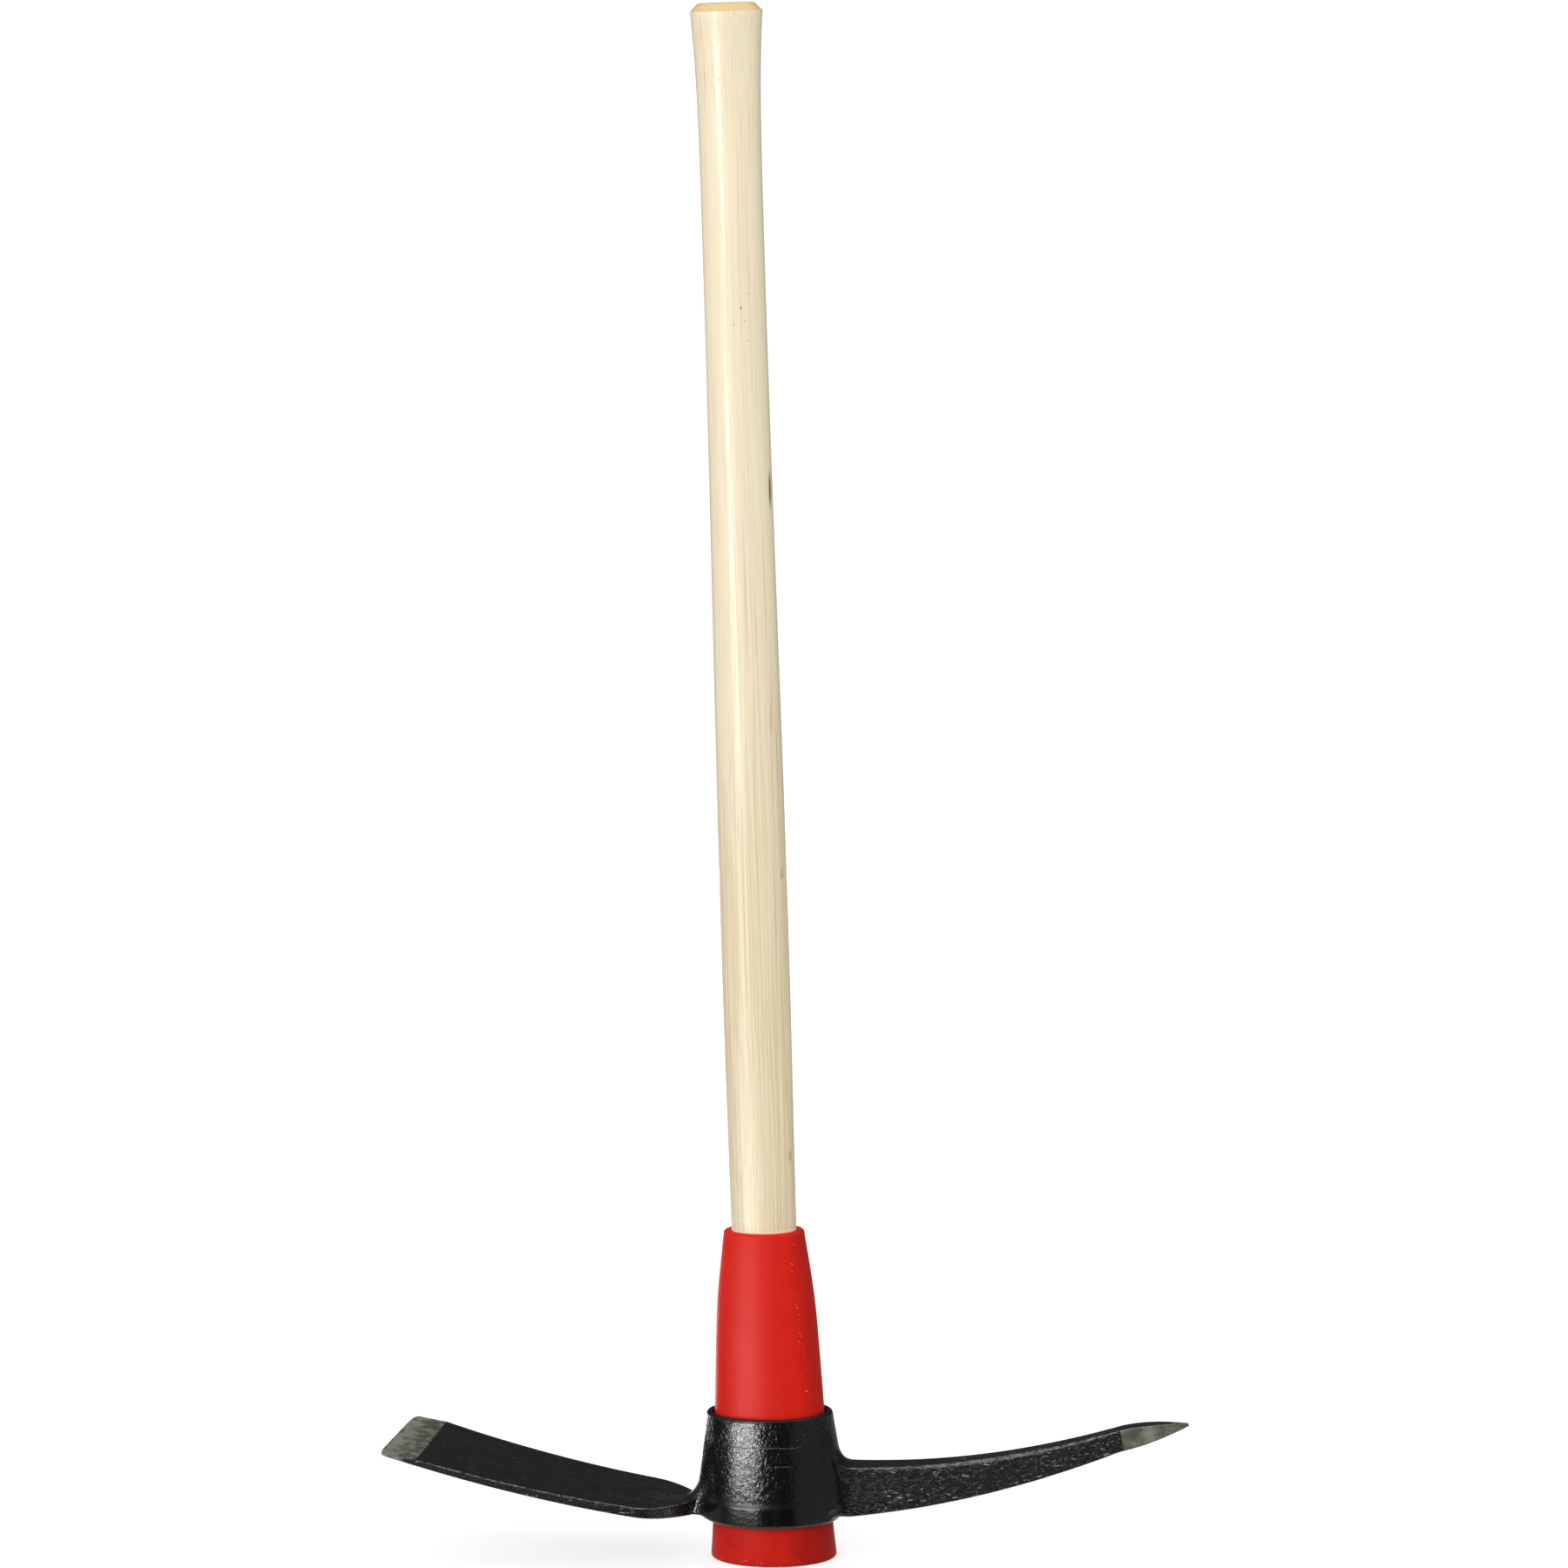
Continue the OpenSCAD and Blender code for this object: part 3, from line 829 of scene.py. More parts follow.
class Socket:
    """A socket of a node tree, with plain arithmetic that adds Math nodes."""

    def __init__(self, net, socket):
        self.net, self.socket = net, socket

    def __abs__(self):
        return self.net.math("ABSOLUTE", self)

    __add__, __radd__ = plain("ADD"), reflected("ADD")
    __sub__, __rsub__ = plain("SUBTRACT"), reflected("SUBTRACT")
    __mul__, __rmul__ = plain("MULTIPLY"), reflected("MULTIPLY")
    __truediv__, __rtruediv__ = plain("DIVIDE"), reflected("DIVIDE")
    __pow__, __rpow__ = plain("POWER"), reflected("POWER")


class Net:
    """Adds nodes to a tree."""

    def __init__(self, tree):
        self.tree = tree

    def node(self, kind, settings=None, sockets=None, out=0):
        """A new node: its type, its settings, and the values or links of its sockets."""
        node = self.tree.nodes.new(kind)
        for name, value in (settings or {}).items():
            setattr(node, name, value)
        for name, value in (sockets or {}).items():
            if isinstance(value, Socket):
                self.tree.links.new(value.socket, node.inputs[name])
            else:
                node.inputs[name].default_value = value
        return Socket(self, node.outputs[out]) if node.outputs else node

    def output(self, socket, name):
        """Another output of the node that a socket belongs to."""
        return Socket(self, socket.socket.node.outputs[name])

    def math(self, operation, *values):
        """A Math node on these values."""
        return self.node("ShaderNodeMath", {"operation": operation}, dict(enumerate(values)))

    def smooth(self, value, low, high):
        """0 where value is under low, 1 where it is over high, and a soft passage between."""
        return self.node(
            "ShaderNodeMapRange",
            {"interpolation_type": "SMOOTHSTEP"},
            {"Value": value, "From Min": low, "From Max": high},
        )

    def blend(self, factor, a, b):
        """Colour from a to b."""
        return self.node("ShaderNodeMix", {"data_type": "RGBA"}, {0: factor, 6: a, 7: b}, out=2)

    def cloud(self, place, scale, detail=1.0, roughness=0.5, distortion=0.0):
        """Noise from 0 to 1 at a scale, or at one scale for each axis."""
        if isinstance(scale, tuple):
            place = self.node("ShaderNodeVectorMath", {"operation": "MULTIPLY"}, {0: place, 1: scale})
            scale = 1.0
        sockets = {"Vector": place, "Scale": scale, "Detail": detail, "Roughness": roughness}
        return self.node("ShaderNodeTexNoise", None, {**sockets, "Distortion": distortion})

    def spots(self, place, scale, low, high, *noise_settings):
        """Spots that begin where the noise is over low and are full where it is over high."""
        return self.smooth(self.cloud(place, scale, *noise_settings), low, high)

    def place(self):
        """Object coordinates, whole and as x, y and z."""
        whole = self.node("ShaderNodeTexCoord", None, None, out="Object")
        x = self.node("ShaderNodeSeparateXYZ", None, {0: whole})
        return whole, x, self.output(x, 1), self.output(x, 2)


def rgba(tint, shade=1.0):
    """A colour with full alpha, made lighter or darker."""
    return (*(part * shade for part in tint), 1.0)


def new_material(name):
    """An empty node material and its Net."""
    material = bpy.data.materials.new(name)
    material.use_nodes = True
    material.node_tree.nodes.clear()
    return material, Net(material.node_tree)


def surface(net, constants, varying, height, depth):
    """Principled shader with constants on its own sockets, varying inputs and a bump."""
    sockets = {**constants, **varying}
    bump = {"Strength": 1.0, "Distance": depth, "Height": height}
    sockets["Normal"] = net.node("ShaderNodeBump", None, bump)
    shader = net.node("ShaderNodeBsdfPrincipled", None, sockets)
    net.node("ShaderNodeOutputMaterial", None, {"Surface": shader})


# Marks of the wood on its front: x, height, half width and half height in millimetres, strength
DARK_MARKS = (
    (5.9, 769.6, 0.45, 0.95, 0.85), (8.0, 762.0, 0.45, 0.5, 0.6), (1.0, 760.0, 0.5, 0.6, 0.5),
    (7.8, 778.0, 0.4, 0.4, 0.5), (9.8, 778.0, 0.4, 0.4, 0.5), (9.7, 750.0, 0.45, 0.5, 0.5),
    (-3.2, 905.0, 0.5, 0.8, 0.45), (12.6, 303.0, 0.45, 0.5, 0.7), (18.3, 660.0, 0.5, 11.0, 0.85),
    (15.5, 522.0, 0.7, 10.0, 0.22), (18.6, 253.0, 0.8, 4.0, 0.3), (18.9, 427.0, 0.7, 3.0, 0.3),
)
PALE_MARKS = ((-9.0, 246.0, 2.5, 3.0, 0.3), (-12.0, 214.0, 6.0, 1.2, 0.35))


def off_oval(a, b, middle, halves):
    """Distance from the middle of an oval, 1 on its rim."""
    return (((a - middle[0]) / halves[0]) ** 2 + ((b - middle[1]) / halves[1]) ** 2) ** 0.5


def wood_marks(net, x, z, marks):
    """Soft oval marks at their places, the strongest where they meet."""
    joined = 0.0
    for mark_x, mark_z, wide, high, strength in marks:
        off = off_oval(x, z, (mark_x * MM, mark_z * MM), (wide * MM, high * MM))
        joined = net.math("MAXIMUM", joined, (1 - net.smooth(off, 0.4, 1.4)) * strength)
    return joined


# Growth rings run round a pith that lies outside the handle
PITH = (-45 * MM, -58 * MM)
RING_WIDTH = 2.4 * MM
RING_DRIFT = 6 * MM
RING_BOW = 14 * MM
CUT_EDGE = 0.3 * MM
DARK_MARK = (0.12, 0.07, 0.03)
PALE_MARK = (0.86, 0.82, 0.74)
RUBBED_WOOD = (0.92, 0.88, 0.78)


def wood_material(finish, handle, sleeve_top):
    """Pale lacquered hardwood: growth rings, long streaks, fine fibres and a few dark marks."""
    material, net = new_material("lacquered_wood")
    place, x, y, z = net.place()
    drift = net.cloud(place, (24, 24, 2.4), 2.0)
    bow = net.cloud(place, (9, 9, 5))
    from_pith = off_oval(x, y, PITH, (1, 1)) + drift * RING_DRIFT + bow * RING_BOW
    late = net.smooth(net.math("SINE", from_pith * (2 * math.pi / RING_WIDTH)), 0.2, 1.0)
    streak = net.cloud(place, (1150, 1150, 7), 3.0, 0.65)
    line = net.spots(place, (1400, 1400, 6), 0.55, 0.66)
    fibre = net.cloud(place, (3600, 3600, 40), 2.0, 0.6)
    pore = net.spots(place, (2600, 2600, 80), 0.66, 0.74)
    tone = net.cloud(place, (38, 38, 5), 2.0) - 0.5
    # Painted shade: towards the bottom the wood is painted darker and yellower, where its highlight is
    # weaker.
    low = 1 - net.smooth(z, 0.25, 0.75)
    depth = late * 0.10 + (streak - 0.45) * 1.5 + line * 0.34 + pore * 0.2 + tone * 0.6 + low * 0.42
    base = net.blend(net.smooth(depth, 0.0, 1.15), rgba(finish.wood), rgba(finish.grain))
    cut_height = handle.total - handle.chamfer
    end = net.smooth(z, cut_height - CUT_EDGE, cut_height + CUT_EDGE)
    vessel = net.spots(place, 1400, 0.56, 0.66)
    cut = net.smooth(late * (0.16 + vessel * 0.2) + tone * 0.7 + 0.12, 0.0, 1.0)
    base = net.blend(end * 0.8, base, net.blend(cut, rgba(finish.end_grain), rgba(finish.end_grain, 0.62)))
    front = net.smooth(y * -1.0, 0.0, 2 * MM)
    base = net.blend(wood_marks(net, x, z, DARK_MARKS) * front, base, rgba(DARK_MARK))
    base = net.blend(wood_marks(net, x, z, PALE_MARKS) * front, base, rgba(PALE_MARK))
    mouth = 1 - net.smooth(abs(z - sleeve_top - 0.8 * MM), 0.3 * MM, 1.1 * MM)
    base = net.blend(mouth * 0.55, base, rgba(RUBBED_WOOD))
    roughness = 0.34 + fibre * 0.14 + net.smooth(streak, 0.5, 0.7) * 0.08
    lacquer = 0.80 - net.smooth(streak, 0.44, 0.58) * 0.50 - line * 0.2
    height = fibre * 0.45 + streak * 0.5 - pore * 0.3
    surface(
        net,
        {"IOR": 1.5, "Specular IOR Level": 0.3, "Coat Roughness": 0.13},
        {"Base Color": base, "Roughness": roughness, "Coat Weight": lacquer},
        height,
        0.09 * MM,
    )
    return material


# The moulding line on the right of the sleeve's front: its x at a height, and how it leans in
MOULD_LINE = 26 * MM
MOULD_LINE_HEIGHT = 100 * MM
MOULD_LINE_LEAN = 0.075
SCUFFED_RED = (0.85, 0.42, 0.36)


def plastic_material(finish):
    """Satin red plastic with scuffed flecks, painted darker past its moulding line and round its foot as
    painted shade.
    """
    material, net = new_material("red_plastic")
    place, x, y, z = net.place()
    mottle = net.cloud(place, 45, 3.0)
    banding = net.cloud(place, (3, 3, 55))
    shade = (mottle - 0.5) * 0.25 + (banding - 0.5) * 0.35 + 0.35
    base = net.blend(net.smooth(shade, 0.0, 1.0), rgba(finish.red, 1.08), rgba(finish.red, 0.82))
    speck = net.spots(place, (900, 900, 495), 0.69, 0.74)
    rub = net.spots(place, 60, 0.5, 0.75, 2.0)
    past_line = x - MOULD_LINE + (z - MOULD_LINE_HEIGHT) * MOULD_LINE_LEAN
    # Painted shade: past the moulding line the red turns darker, standing in for the shade on the sleeve's
    # right side.
    base = net.blend(net.smooth(past_line, -4 * MM, 7 * MM) * 0.42, base, rgba(finish.red, 0.45))
    line = 1 - net.smooth(abs(past_line + (rub - 0.5) * 1.5 * MM), 0.4 * MM, 2.2 * MM)
    front = net.smooth(y * -1.0, 4 * MM, 8 * MM)
    low = 1 - net.smooth(z, 2 * MM, 9 * MM)
    scuffed = line * front * net.smooth(z, 90 * MM, 110 * MM) * 0.9 + low * 0.7 + rub * 0.16
    fleck = net.smooth(speck * scuffed, 0.2, 0.6)
    base = net.blend(fleck * 0.75, base, rgba(SCUFFED_RED))
    # Painted shade: low on the foot the red is painted darker, in soft patches and most on the right side,
    # as the shade that falls there.
    shaded_right_side = net.smooth(x, 8 * MM, 30 * MM)
    painted_foot_shade = (1 - net.smooth(z, 14 * MM, 46 * MM)) * (0.25 + rub * 0.3 + shaded_right_side * 0.5)
    base = net.blend(painted_foot_shade, base, rgba(finish.red, 0.5))
    fine = net.cloud(place, 2600, 2.0)
    roughness = 0.40 + mottle * 0.14 + fleck * 0.2
    surface(
        net,
        {"IOR": 1.46, "Specular IOR Level": 0.14},
        {"Base Color": base, "Roughness": roughness},
        fine * 0.25 + mottle * 0.8 + fleck * 1.5,
        0.06 * MM,
    )
    return material


# Places on the head: two ridges in the paint on the front of the eye, where the arms start, the
# upper edge of the band, and the middle and half sizes of the scraped oval on the adze's neck
PAINT_SEAMS = (75.5 * MM, 63.5 * MM)
ARM_START = (44 * MM, 56 * MM)
BAND_EDGE = (36 * MM, 39 * MM)
NECK_SCRAPE = (-66 * MM, -2 * MM)
NECK_SCRAPE_HALF = (15 * MM, 9 * MM)


def paint_seams(net, place, x, y, z):
    """Thin broken ridges in the paint."""
    wander = (net.cloud(place, 130, 2.0) - 0.5) * 2.2 * MM
    seam = 0.0
    for level in PAINT_SEAMS:
        seam = seam + (1 - net.smooth(abs(z - level + wander), 0.10 * MM, 0.40 * MM))
    front = net.smooth(y * -1.0, 18 * MM, 22 * MM) * (1 - net.smooth(abs(x), 21 * MM, 25 * MM))
    return seam * front * net.spots(place, 90, 0.44, 0.52)


def bare_steel(net, place, x, past, mottle, finish):
    """Colour, roughness and height of the ground steel."""
    lines = net.cloud(place, (2200, 300, 2200), 2.0)
    honed = net.smooth(past, 8 * MM, 17 * MM) - net.smooth(past, 15 * MM, 30 * MM)
    on_pick = net.smooth(x, 0.0, 10 * MM)
    tone = (mottle - 0.5) * (3.4 - on_pick * 1.4) + (lines - 0.5) * 1.5 + 0.66
    tone = net.smooth(tone + on_pick * 0.14 - honed * 0.55, 0.0, 1.0)
    steel = net.blend(tone, rgba(finish.steel, 1.75), rgba(finish.steel, 0.55))
    return steel, 0.36 + mottle * 0.16, mottle * 0.3 + lines * 0.15 - 0.2


def paint_material(finish):
    """Black satin paint over forged steel, rubbed on its edges, with bare ground ends and light flecks
    that are partly worn paint and partly painted glints.
    """
    material, net = new_material("black_paint")
    place, x, y, z = net.place()
    wear, forged, past = (
        net.node("ShaderNodeAttribute", {"attribute_name": name}, None, out="Fac") for name in SKIN_VALUES
    )
    on_arm = net.smooth(abs(x), *ARM_START)
    patch = net.spots(place, 26, 0.48, 0.62, 2.0)
    cluster = net.spots(place, (45.5, 130, 130), 0.45, 0.58, 2.0)
    speck = net.spots(place, (625, 1250, 1250), 0.68, 0.74)
    scratch = net.spots(place, (240, 2600, 900), 0.63, 0.68)
    # Painted glints: scraped flecks along the arms, partly scraped paint and partly painted glints.
    scrape_glint = net.spots(place, (237.5, 950, 950), 0.61, 0.68, 2.0, 0.6) * on_arm * forged
    rubbed = net.smooth(wear * 0.62 + net.cloud(place, (279, 620, 620), 3.0, 0.6) * 0.95, 0.93, 1.22)
    seam = paint_seams(net, place, x, y, z)
    # Partly painted light: besides rubbed edges and seams, the paint on the forged arms is made a little
    # lighter, and light specks stand in for glints as well as worn paint.
    light = rubbed * 0.85 + on_arm * forged * 0.025 + scrape_glint * (0.08 + cluster * 0.92)
    light = light + speck * forged * (patch * 0.7 + on_arm * cluster * 0.8) + seam * 0.25
    neck = 1 - net.smooth(off_oval(x, y, NECK_SCRAPE, NECK_SCRAPE_HALF), 0.4, 1.2)
    light = light + scratch * (patch * 0.10 + neck * 0.9) * (1 - forged)
    light = net.math("MINIMUM", light, 0.9)
    paint = net.blend(light, rgba(finish.black), rgba(finish.worn_and_glint))
    # Painted glints: where the scraped flecks cluster, the paint turns lighter than worn paint.
    paint = net.blend(scrape_glint * cluster * 0.6, paint, rgba(finish.worn_and_glint, 2.2))
    mottle = net.cloud(place, 130, 4.0, 0.6)
    band = 1 - net.smooth(z, *BAND_EDGE)
    satin = 0.36 - forged * 0.17 * (1 - on_arm * 0.35) + (mottle - 0.5) * 0.12 + light * 0.2 - band * 0.15
    worm = net.spots(place, (520, 520, 416), 0.36, 0.64, 1.5, 0.5, 0.9)
    ridge = net.spots(place, (166.4, 520, 520), 0.42, 0.62, 2.0, 0.5, 0.6)
    pit = net.spots(place, (304, 760, 760), 0.60, 0.70)
    lump = net.cloud(place, 210, 2.0, 0.55)
    rough = worm * 0.42 * (1 - on_arm) + ridge * on_arm * 0.85 + scrape_glint * 0.6
    rough = rough + lump * (0.6 + on_arm * 0.5) - pit * (0.10 + on_arm * 0.2)
    relief = rough * forged + net.cloud(place, 1900) * 0.04 + lump * 0.15
    relief = relief - scratch * patch * 0.1 + seam * 0.5
    steel, steel_roughness, steel_height = bare_steel(net, place, x, past, mottle, finish)
    edge = (net.cloud(place, 700, 2.0) - 0.5) * 1.6 * MM
    bare = net.smooth(past + edge, -0.15 * MM, 0.15 * MM)
    roughness = satin * (1 - bare) + steel_roughness * bare
    surface(
        net,
        {"IOR": 1.5},
        {"Base Color": net.blend(bare, paint, steel), "Roughness": roughness, "Metallic": bare * 0.6},
        relief * (1 - bare) + steel_height * bare,
        0.22 * MM,
    )
    return material


# The profile runs along a circle of this radius, and is moved in by as much
RAIL_RADIUS = 1.0
MERGE_DISTANCE = 0.002 * MM


def turning_tree():
    """Geometry Nodes that turn a half profile round the handle's axis and draw it out to an oval."""
    tree = bpy.data.node_groups.new("oval_turning", "GeometryNodeTree")
    inputs = (
        ("Profile", "NodeSocketGeometry"), ("Oval", "NodeSocketFloat"),
        ("Facets", "NodeSocketInt"), ("Finish", "NodeSocketMaterial"),
    )
    keys = {}
    for name, kind in inputs:
        keys[name] = tree.interface.new_socket(name, in_out="INPUT", socket_type=kind).identifier
    tree.interface.new_socket("Piece", in_out="OUTPUT", socket_type="NodeSocketGeometry")
    net = Net(tree)
    profile = net.node("NodeGroupInput")
    oval, facets, finish = (net.output(profile, n) for n in ("Oval", "Facets", "Finish"))
    circle = {"Resolution": facets, "Radius": RAIL_RADIUS}
    rail = net.node("GeometryNodeCurvePrimitiveCircle", None, circle)
    line = net.node("GeometryNodeMeshToCurve", None, {"Mesh": profile})
    inward = {"Geometry": line, "Translation": (-RAIL_RADIUS, 0, 0)}
    line = net.node("GeometryNodeTransform", None, inward)
    turned = net.node("GeometryNodeCurveToMesh", None, {"Curve": rail, "Profile Curve": line})
    squeeze = net.node("ShaderNodeCombineXYZ", None, {"X": 1.0, "Y": oval, "Z": 1.0})
    turned = net.node("GeometryNodeTransform", None, {"Geometry": turned, "Scale": squeeze})
    doubles = {"Geometry": turned, "Distance": MERGE_DISTANCE}
    turned = net.node("GeometryNodeMergeByDistance", None, doubles)
    turned = net.node("GeometryNodeRealizeInstances", None, {"Geometry": turned})
    turned = net.node("GeometryNodeSetMaterial", None, {"Geometry": turned, "Material": finish})
    net.node("NodeGroupOutput", None, {"Piece": turned})
    return tree, keys


def settle(obj):
    """Turns an object's modifiers into plain mesh."""
    graph = bpy.context.evaluated_depsgraph_get()
    made = bpy.data.meshes.new_from_object(obj.evaluated_get(graph), depsgraph=graph)
    obj.modifiers.clear()
    obj.data = made


def place_object(name, data):
    """A new object at the origin, with a mesh, a lamp or a camera as its data."""
    obj = bpy.data.objects.new(name, data)
    bpy.context.scene.collection.objects.link(obj)
    return obj


def turned_piece(name, profile, handle, material, sharp, closed=False):
    """A piece turned from its half profile to the handle's oval, smooth but for its sharp edges."""
    count = len(profile)
    line = bpy.data.meshes.new(name + "_profile")
    edges = [(k, (k + 1) % count) for k in range(count if closed else count - 1)]
    line.from_pydata([(r, -z, 0) for r, z in profile], edges, [])
    obj = place_object(name, line)
    tree, keys = turning_tree()
    turning = obj.modifiers.new("turning", "NODES")
    turning.node_group = tree
    turning[keys["Oval"]] = handle.oval
    turning[keys["Facets"]] = handle.facets
    turning[keys["Finish"]] = material
    settle(obj)
    face_outwards(obj.data)
    obj.data.shade_smooth()
    obj.data.set_sharp_from_angle(angle=sharp)
    return obj


def sizes(context):
    """The sizes of the three pieces and the finishes."""
    scene = context.scene
    return scene.mattock_handle, scene.mattock_sleeve, scene.mattock_head, scene.mattock_finish


# Edges that turn by more than this stay sharp
SHARP_WOOD = math.radians(50)
SHARP_PLASTIC = math.radians(60)


class MATTOCK_OT_handle(bpy.types.Operator):
    """Turn the oval wooden handle"""

    bl_idname = "mattock.handle"
    bl_label = "Handle"

    def execute(self, context):
        handle, sleeve, _, finish = sizes(context)
        profile = handle_profile(handle, sleeve)
        wood = wood_material(finish, handle, sleeve.height)
        obj = turned_piece("wooden_handle", profile, handle, wood, SHARP_WOOD)
        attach(obj, "handle")
        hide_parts("handle")
        return {"FINISHED"}


class MATTOCK_OT_sleeve(bpy.types.Operator):
    """Turn the flared plastic sleeve"""

    bl_idname = "mattock.sleeve"
    bl_label = "Sleeve"

    def execute(self, context):
        handle, sleeve, _, finish = sizes(context)
        profile = sleeve_profile(sleeve)
        plastic = plastic_material(finish)
        obj = turned_piece("red_sleeve", profile, handle, plastic, SHARP_PLASTIC, closed=True)
        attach(obj, "handle")
        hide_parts("sleeve")
        return {"FINISHED"}


class MATTOCK_OT_head(bpy.types.Operator):
    """Forge the head: eye, adze and pick in one skin"""

    bl_idname = "mattock.head"
    bl_label = "Head"

    def execute(self, context):
        handle, sleeve, head, finish = sizes(context)
        obj = place_object("forged_head", build_head(HeadForm(head, sleeve, handle.oval)))
        smoothing = obj.modifiers.new("smoothing", "SUBSURF")
        smoothing.levels = smoothing.render_levels = 1
        settle(obj)
        hammer(obj.data)
        obj.data.shade_smooth()
        obj.data.materials.clear()
        obj.data.materials.append(paint_material(finish))
        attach(obj, "head")
        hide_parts("head")
        return {"FINISHED"}


WHITE = (1, 1, 1, 1)
LENS = 133.49
SENSOR = 36.0
CLIP = (0.1, 200.0)
LOOK_AT = Vector((0, 0, 0.475))
SHIFT = (0.0214, 0.0066)


def around(azimuth, distance, height):
    """A point round the tool, azimuth 0 in front and growing to the right."""
    turn = math.radians(azimuth)
    return Vector((distance * math.sin(turn), -distance * math.cos(turn), height))


def add_camera(stage):
    """Camera at the photograph's angle."""
    data = bpy.data.cameras.new("camera")
    data.lens, data.sensor_width = LENS, SENSOR
    data.shift_x, data.shift_y = SHIFT
    data.clip_start, data.clip_end = CLIP
    camera = place_object("camera", data)
    camera.location = around(math.degrees(stage.azimuth), stage.distance, stage.height)
    facing = (LOOK_AT - camera.location).to_track_quat("-Z", "Y")
    camera.rotation_euler = (facing.to_matrix() @ Matrix.Rotation(stage.roll, 3, "Z")).to_euler()
    bpy.context.scene.camera = camera


# Lamps: name, setting of its power, azimuth in degrees, distance, height, and width and height of
# its face. The last one only shows in reflections, and the others never do.
LAMPS = (
    ("key_light", "key", -14, 2.5, 1.45, 2.0, 2.2),
    ("fill_light", "fill", 58, 2.1, 2.3, 1.4, 1.4),
    ("back_light", "back", 195, 2.5, 1.6, 2.0, 2.0),
    ("gloss_panel", "gloss", -28, 2.4, 1.20, 0.6, 2.1),
)


def add_softbox(name, watts, azimuth, distance, height, wide, tall):
    """A soft lamp that is aimed at the tool, or stands upright if it is for reflections."""
    data = bpy.data.lights.new(name, "AREA")
    data.shape, data.size, data.size_y, data.energy = "RECTANGLE", wide, tall, watts
    lamp = place_object(name, data)
    lamp.location = around(azimuth, distance, height)
    in_gloss = name == "gloss_panel"
    target = Vector((0, 0, height)) if in_gloss else LOOK_AT
    lamp.rotation_euler = (target - lamp.location).to_track_quat("-Z", "Y").to_euler()
    lamp.visible_camera = False
    lamp.visible_glossy, lamp.visible_diffuse = in_gloss, not in_gloss


def add_card(name, glow, corners):
    """Studio cards that only reflections see, as bright as glow."""
    mesh = bpy.data.meshes.new(name)
    mesh.from_pydata(corners, [], [tuple(range(k, k + 4)) for k in range(0, len(corners), 4)])
    material, net = new_material(name)
    light = net.node("ShaderNodeEmission", None, {"Color": WHITE, "Strength": glow})
    net.node("ShaderNodeOutputMaterial", None, {"Surface": light})
    mesh.materials.append(material)
    card = place_object(name, mesh)
    card.visible_camera = card.visible_diffuse = card.visible_shadow = card.visible_transmission = False


# Cards span about this many degrees each. The room's walls are so far off and reach so high.
CARD_TURN = 25
ROOM = 2.7
ROOM_LOW = 0.01
ROOM_HIGH = 4.0
TABLE_HEIGHT = 2 * MM


def cards(first, last, inner, outer):
    """Corners of cards side by side between two azimuths, from an inner to an outer edge.

    An edge is a distance and a height.
    """
    turns = np.linspace(first, last, max(2, round((last - first) / CARD_TURN)) + 1)
    corners = []
    for a, b in zip(turns, turns[1:]):
        corners += [around(a, *inner), around(b, *inner), around(b, *outer), around(a, *outer)]
    return corners


def wall(first, last):
    """Upright cards round the room."""
    return cards(first, last, (ROOM, ROOM_LOW), (ROOM, ROOM_HIGH))


def table(first, last, near, far, height=TABLE_HEIGHT):
    """Cards that lie round the tool."""
    return cards(first, last, (near, height), (far, height))


# Two upright flags, which keep the bright table out of the adze's near side and of the eye
ADZE_FLAG_Y = -58 * MM
ADZE_FLAG = ((-0.25, 0.002), (-0.085, 0.002), (-0.085, 0.085), (-0.25, 0.105))
EYE_FLAG_AZIMUTH = 10
EYE_FLAG = ((0.047, 0.002), (0.09, 0.002), (0.09, 0.10), (0.047, 0.10))


def add_cards():
    """The bright table that the paint mirrors, and the dark and grey room round it."""
    flags = [Vector((x, ADZE_FLAG_Y, z)) for x, z in ADZE_FLAG]
    flags += [around(EYE_FLAG_AZIMUTH, r, z) for r, z in EYE_FLAG]
    grey = wall(32, 120) + wall(240, 296) + table(32, 308, 0.09, 2.6) + table(-52, -17, 0.09, 0.30)
    add_card("lit_table", 21.0, table(-52, -17, 0.30, 0.8))
    add_card("dim_table", 0.9, table(-52, -17, 0.8, 2.2))
    add_card("dark_gap", 0.0, wall(-11, 32) + table(-17, 32, 0.09, 2.6))
    add_card("grey_room", 0.3, grey)
    add_card("dark_back", 0.07, wall(120, 240))
    add_card("dark_flags", 0.12, flags)
    add_card("back_table", 5.0, table(196, 232, 0.26, 0.9, 3 * MM))


def backdrop_share(net):
    """1 for rays that should see the white backdrop."""
    path = net.node("ShaderNodeLightPath", None, None, out="Is Camera Ray")
    seen = path + net.output(path, "Is Glossy Ray") + net.output(path, "Is Transmission Ray")
    return net.math("MINIMUM", seen, 1.0)


def add_world(ambient):
    """White backdrop to the eye and to reflections, softer ambient light on the tool."""
    world = bpy.data.worlds.new("studio")
    bpy.context.scene.world = world
    world.use_nodes = True
    world.node_tree.nodes.clear()
    net = Net(world.node_tree)
    light = net.node("ShaderNodeBackground", None, {"Color": WHITE, "Strength": ambient})
    white = net.node("ShaderNodeBackground", None, {"Color": WHITE, "Strength": 1.0})
    mixed = net.node("ShaderNodeMixShader", None, {0: backdrop_share(net), 1: light, 2: white})
    net.node("ShaderNodeOutputWorld", None, {"Surface": mixed})


FLOOR_HALF = 120.0
FLOOR_LEVEL = -0.3 * MM
FLOOR_DARK = (0.46, 0.46, 0.46, 1)
FLOOR_PALE = (0.50, 0.50, 0.50, 1)
FLOOR_GLOW = 0.64


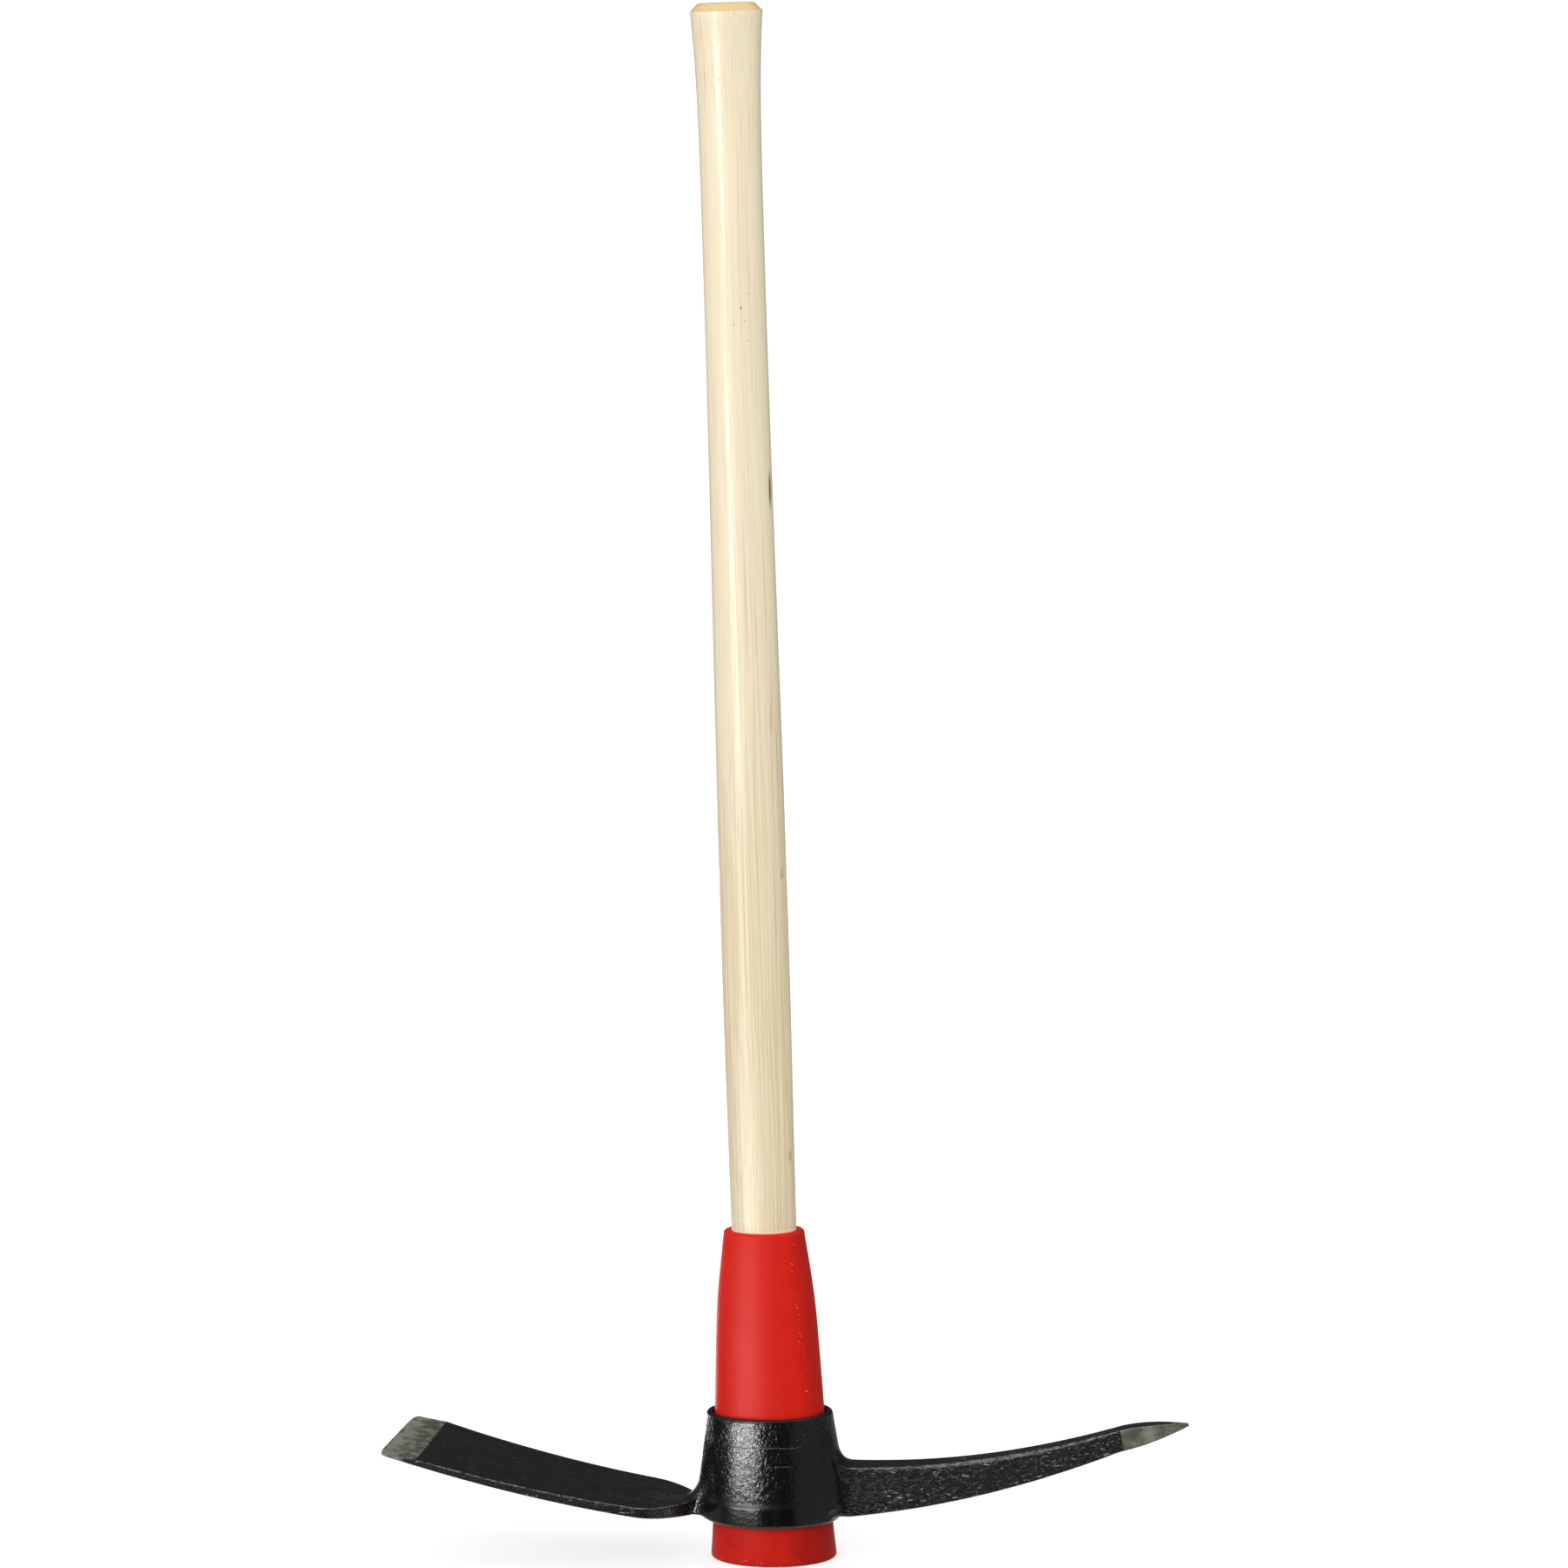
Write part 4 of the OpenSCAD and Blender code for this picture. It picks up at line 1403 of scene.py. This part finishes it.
def add_floor():
    """A plain pale floor that keeps a faint shadow."""
    mesh = bpy.data.meshes.new("floor")
    signs = ((-1, -1), (1, -1), (1, 1), (-1, 1))
    corners = [(FLOOR_HALF * i, FLOOR_HALF * j, FLOOR_LEVEL) for i, j in signs]
    mesh.from_pydata(corners, [], [(0, 1, 2, 3)])
    floor = place_object("floor", mesh)
    material, net = new_material("pale_floor")
    tone = net.blend(net.cloud(net.place()[0], 3, 2.0), FLOOR_DARK, FLOOR_PALE)
    matt = net.node("ShaderNodeBsdfDiffuse", None, {"Color": tone})
    glow = net.node("ShaderNodeEmission", None, {"Color": WHITE, "Strength": FLOOR_GLOW})
    both = net.node("ShaderNodeAddShader", None, {0: matt, 1: glow})
    lit = net.node("ShaderNodeMixShader", None, {0: backdrop_share(net), 1: matt, 2: both})
    net.node("ShaderNodeOutputMaterial", None, {"Surface": lit})
    mesh.materials.append(material)


class MATTOCK_OT_stage(bpy.types.Operator):
    """Set up the floor, the soft lights and the camera"""

    bl_idname = "mattock.stage"
    bl_label = "Stage"

    def execute(self, context):
        stage = context.scene.mattock_stage
        context.scene.view_settings.view_transform = "Standard"
        add_world(stage.ambient)
        add_floor()
        for name, lamp_power, *place_and_face in LAMPS:
            add_softbox(name, getattr(stage, lamp_power), *place_and_face)
        add_cards()
        add_camera(stage)
        return {"FINISHED"}


class MATTOCK_PT_panel(bpy.types.Panel):
    """Pieces of the mattock"""

    bl_idname = "MATTOCK_PT_panel"
    bl_label = "Pick mattock"
    bl_space_type = "VIEW_3D"
    bl_region_type = "UI"
    bl_category = "Mattock"

    def draw(self, context):
        for operator in OPERATORS:
            self.layout.operator(operator.bl_idname)
        for group in GROUPS:
            box = self.layout.box()
            settings = getattr(context.scene, group)
            box.label(text=settings.__doc__)
            for name in settings.__annotations__:
                box.prop(settings, name)


GROUPS = {
    "mattock_handle": HandleSizes,
    "mattock_sleeve": SleeveSizes,
    "mattock_head": HeadSizes,
    "mattock_finish": Finishes,
    "mattock_stage": StageSettings,
}
OPERATORS = (MATTOCK_OT_handle, MATTOCK_OT_sleeve, MATTOCK_OT_head, MATTOCK_OT_stage)


def register():
    """Registers the settings, the operators and the panel."""
    for name, group in GROUPS.items():
        bpy.utils.register_class(group)
        setattr(bpy.types.Scene, name, PointerProperty(type=group))
    for cls in (*OPERATORS, MATTOCK_PT_panel):
        bpy.utils.register_class(cls)


def unregister():
    """Takes them back."""
    for cls in (MATTOCK_PT_panel, *reversed(OPERATORS)):
        bpy.utils.unregister_class(cls)
    for name, group in reversed(list(GROUPS.items())):
        delattr(bpy.types.Scene, name)
        bpy.utils.unregister_class(group)


def main():
    """Builds the pieces and the stage."""
    register()
    bpy.ops.mattock.handle()
    bpy.ops.mattock.sleeve()
    bpy.ops.mattock.head()
    bpy.ops.mattock.stage()


if __name__ == "__main__":
    main()
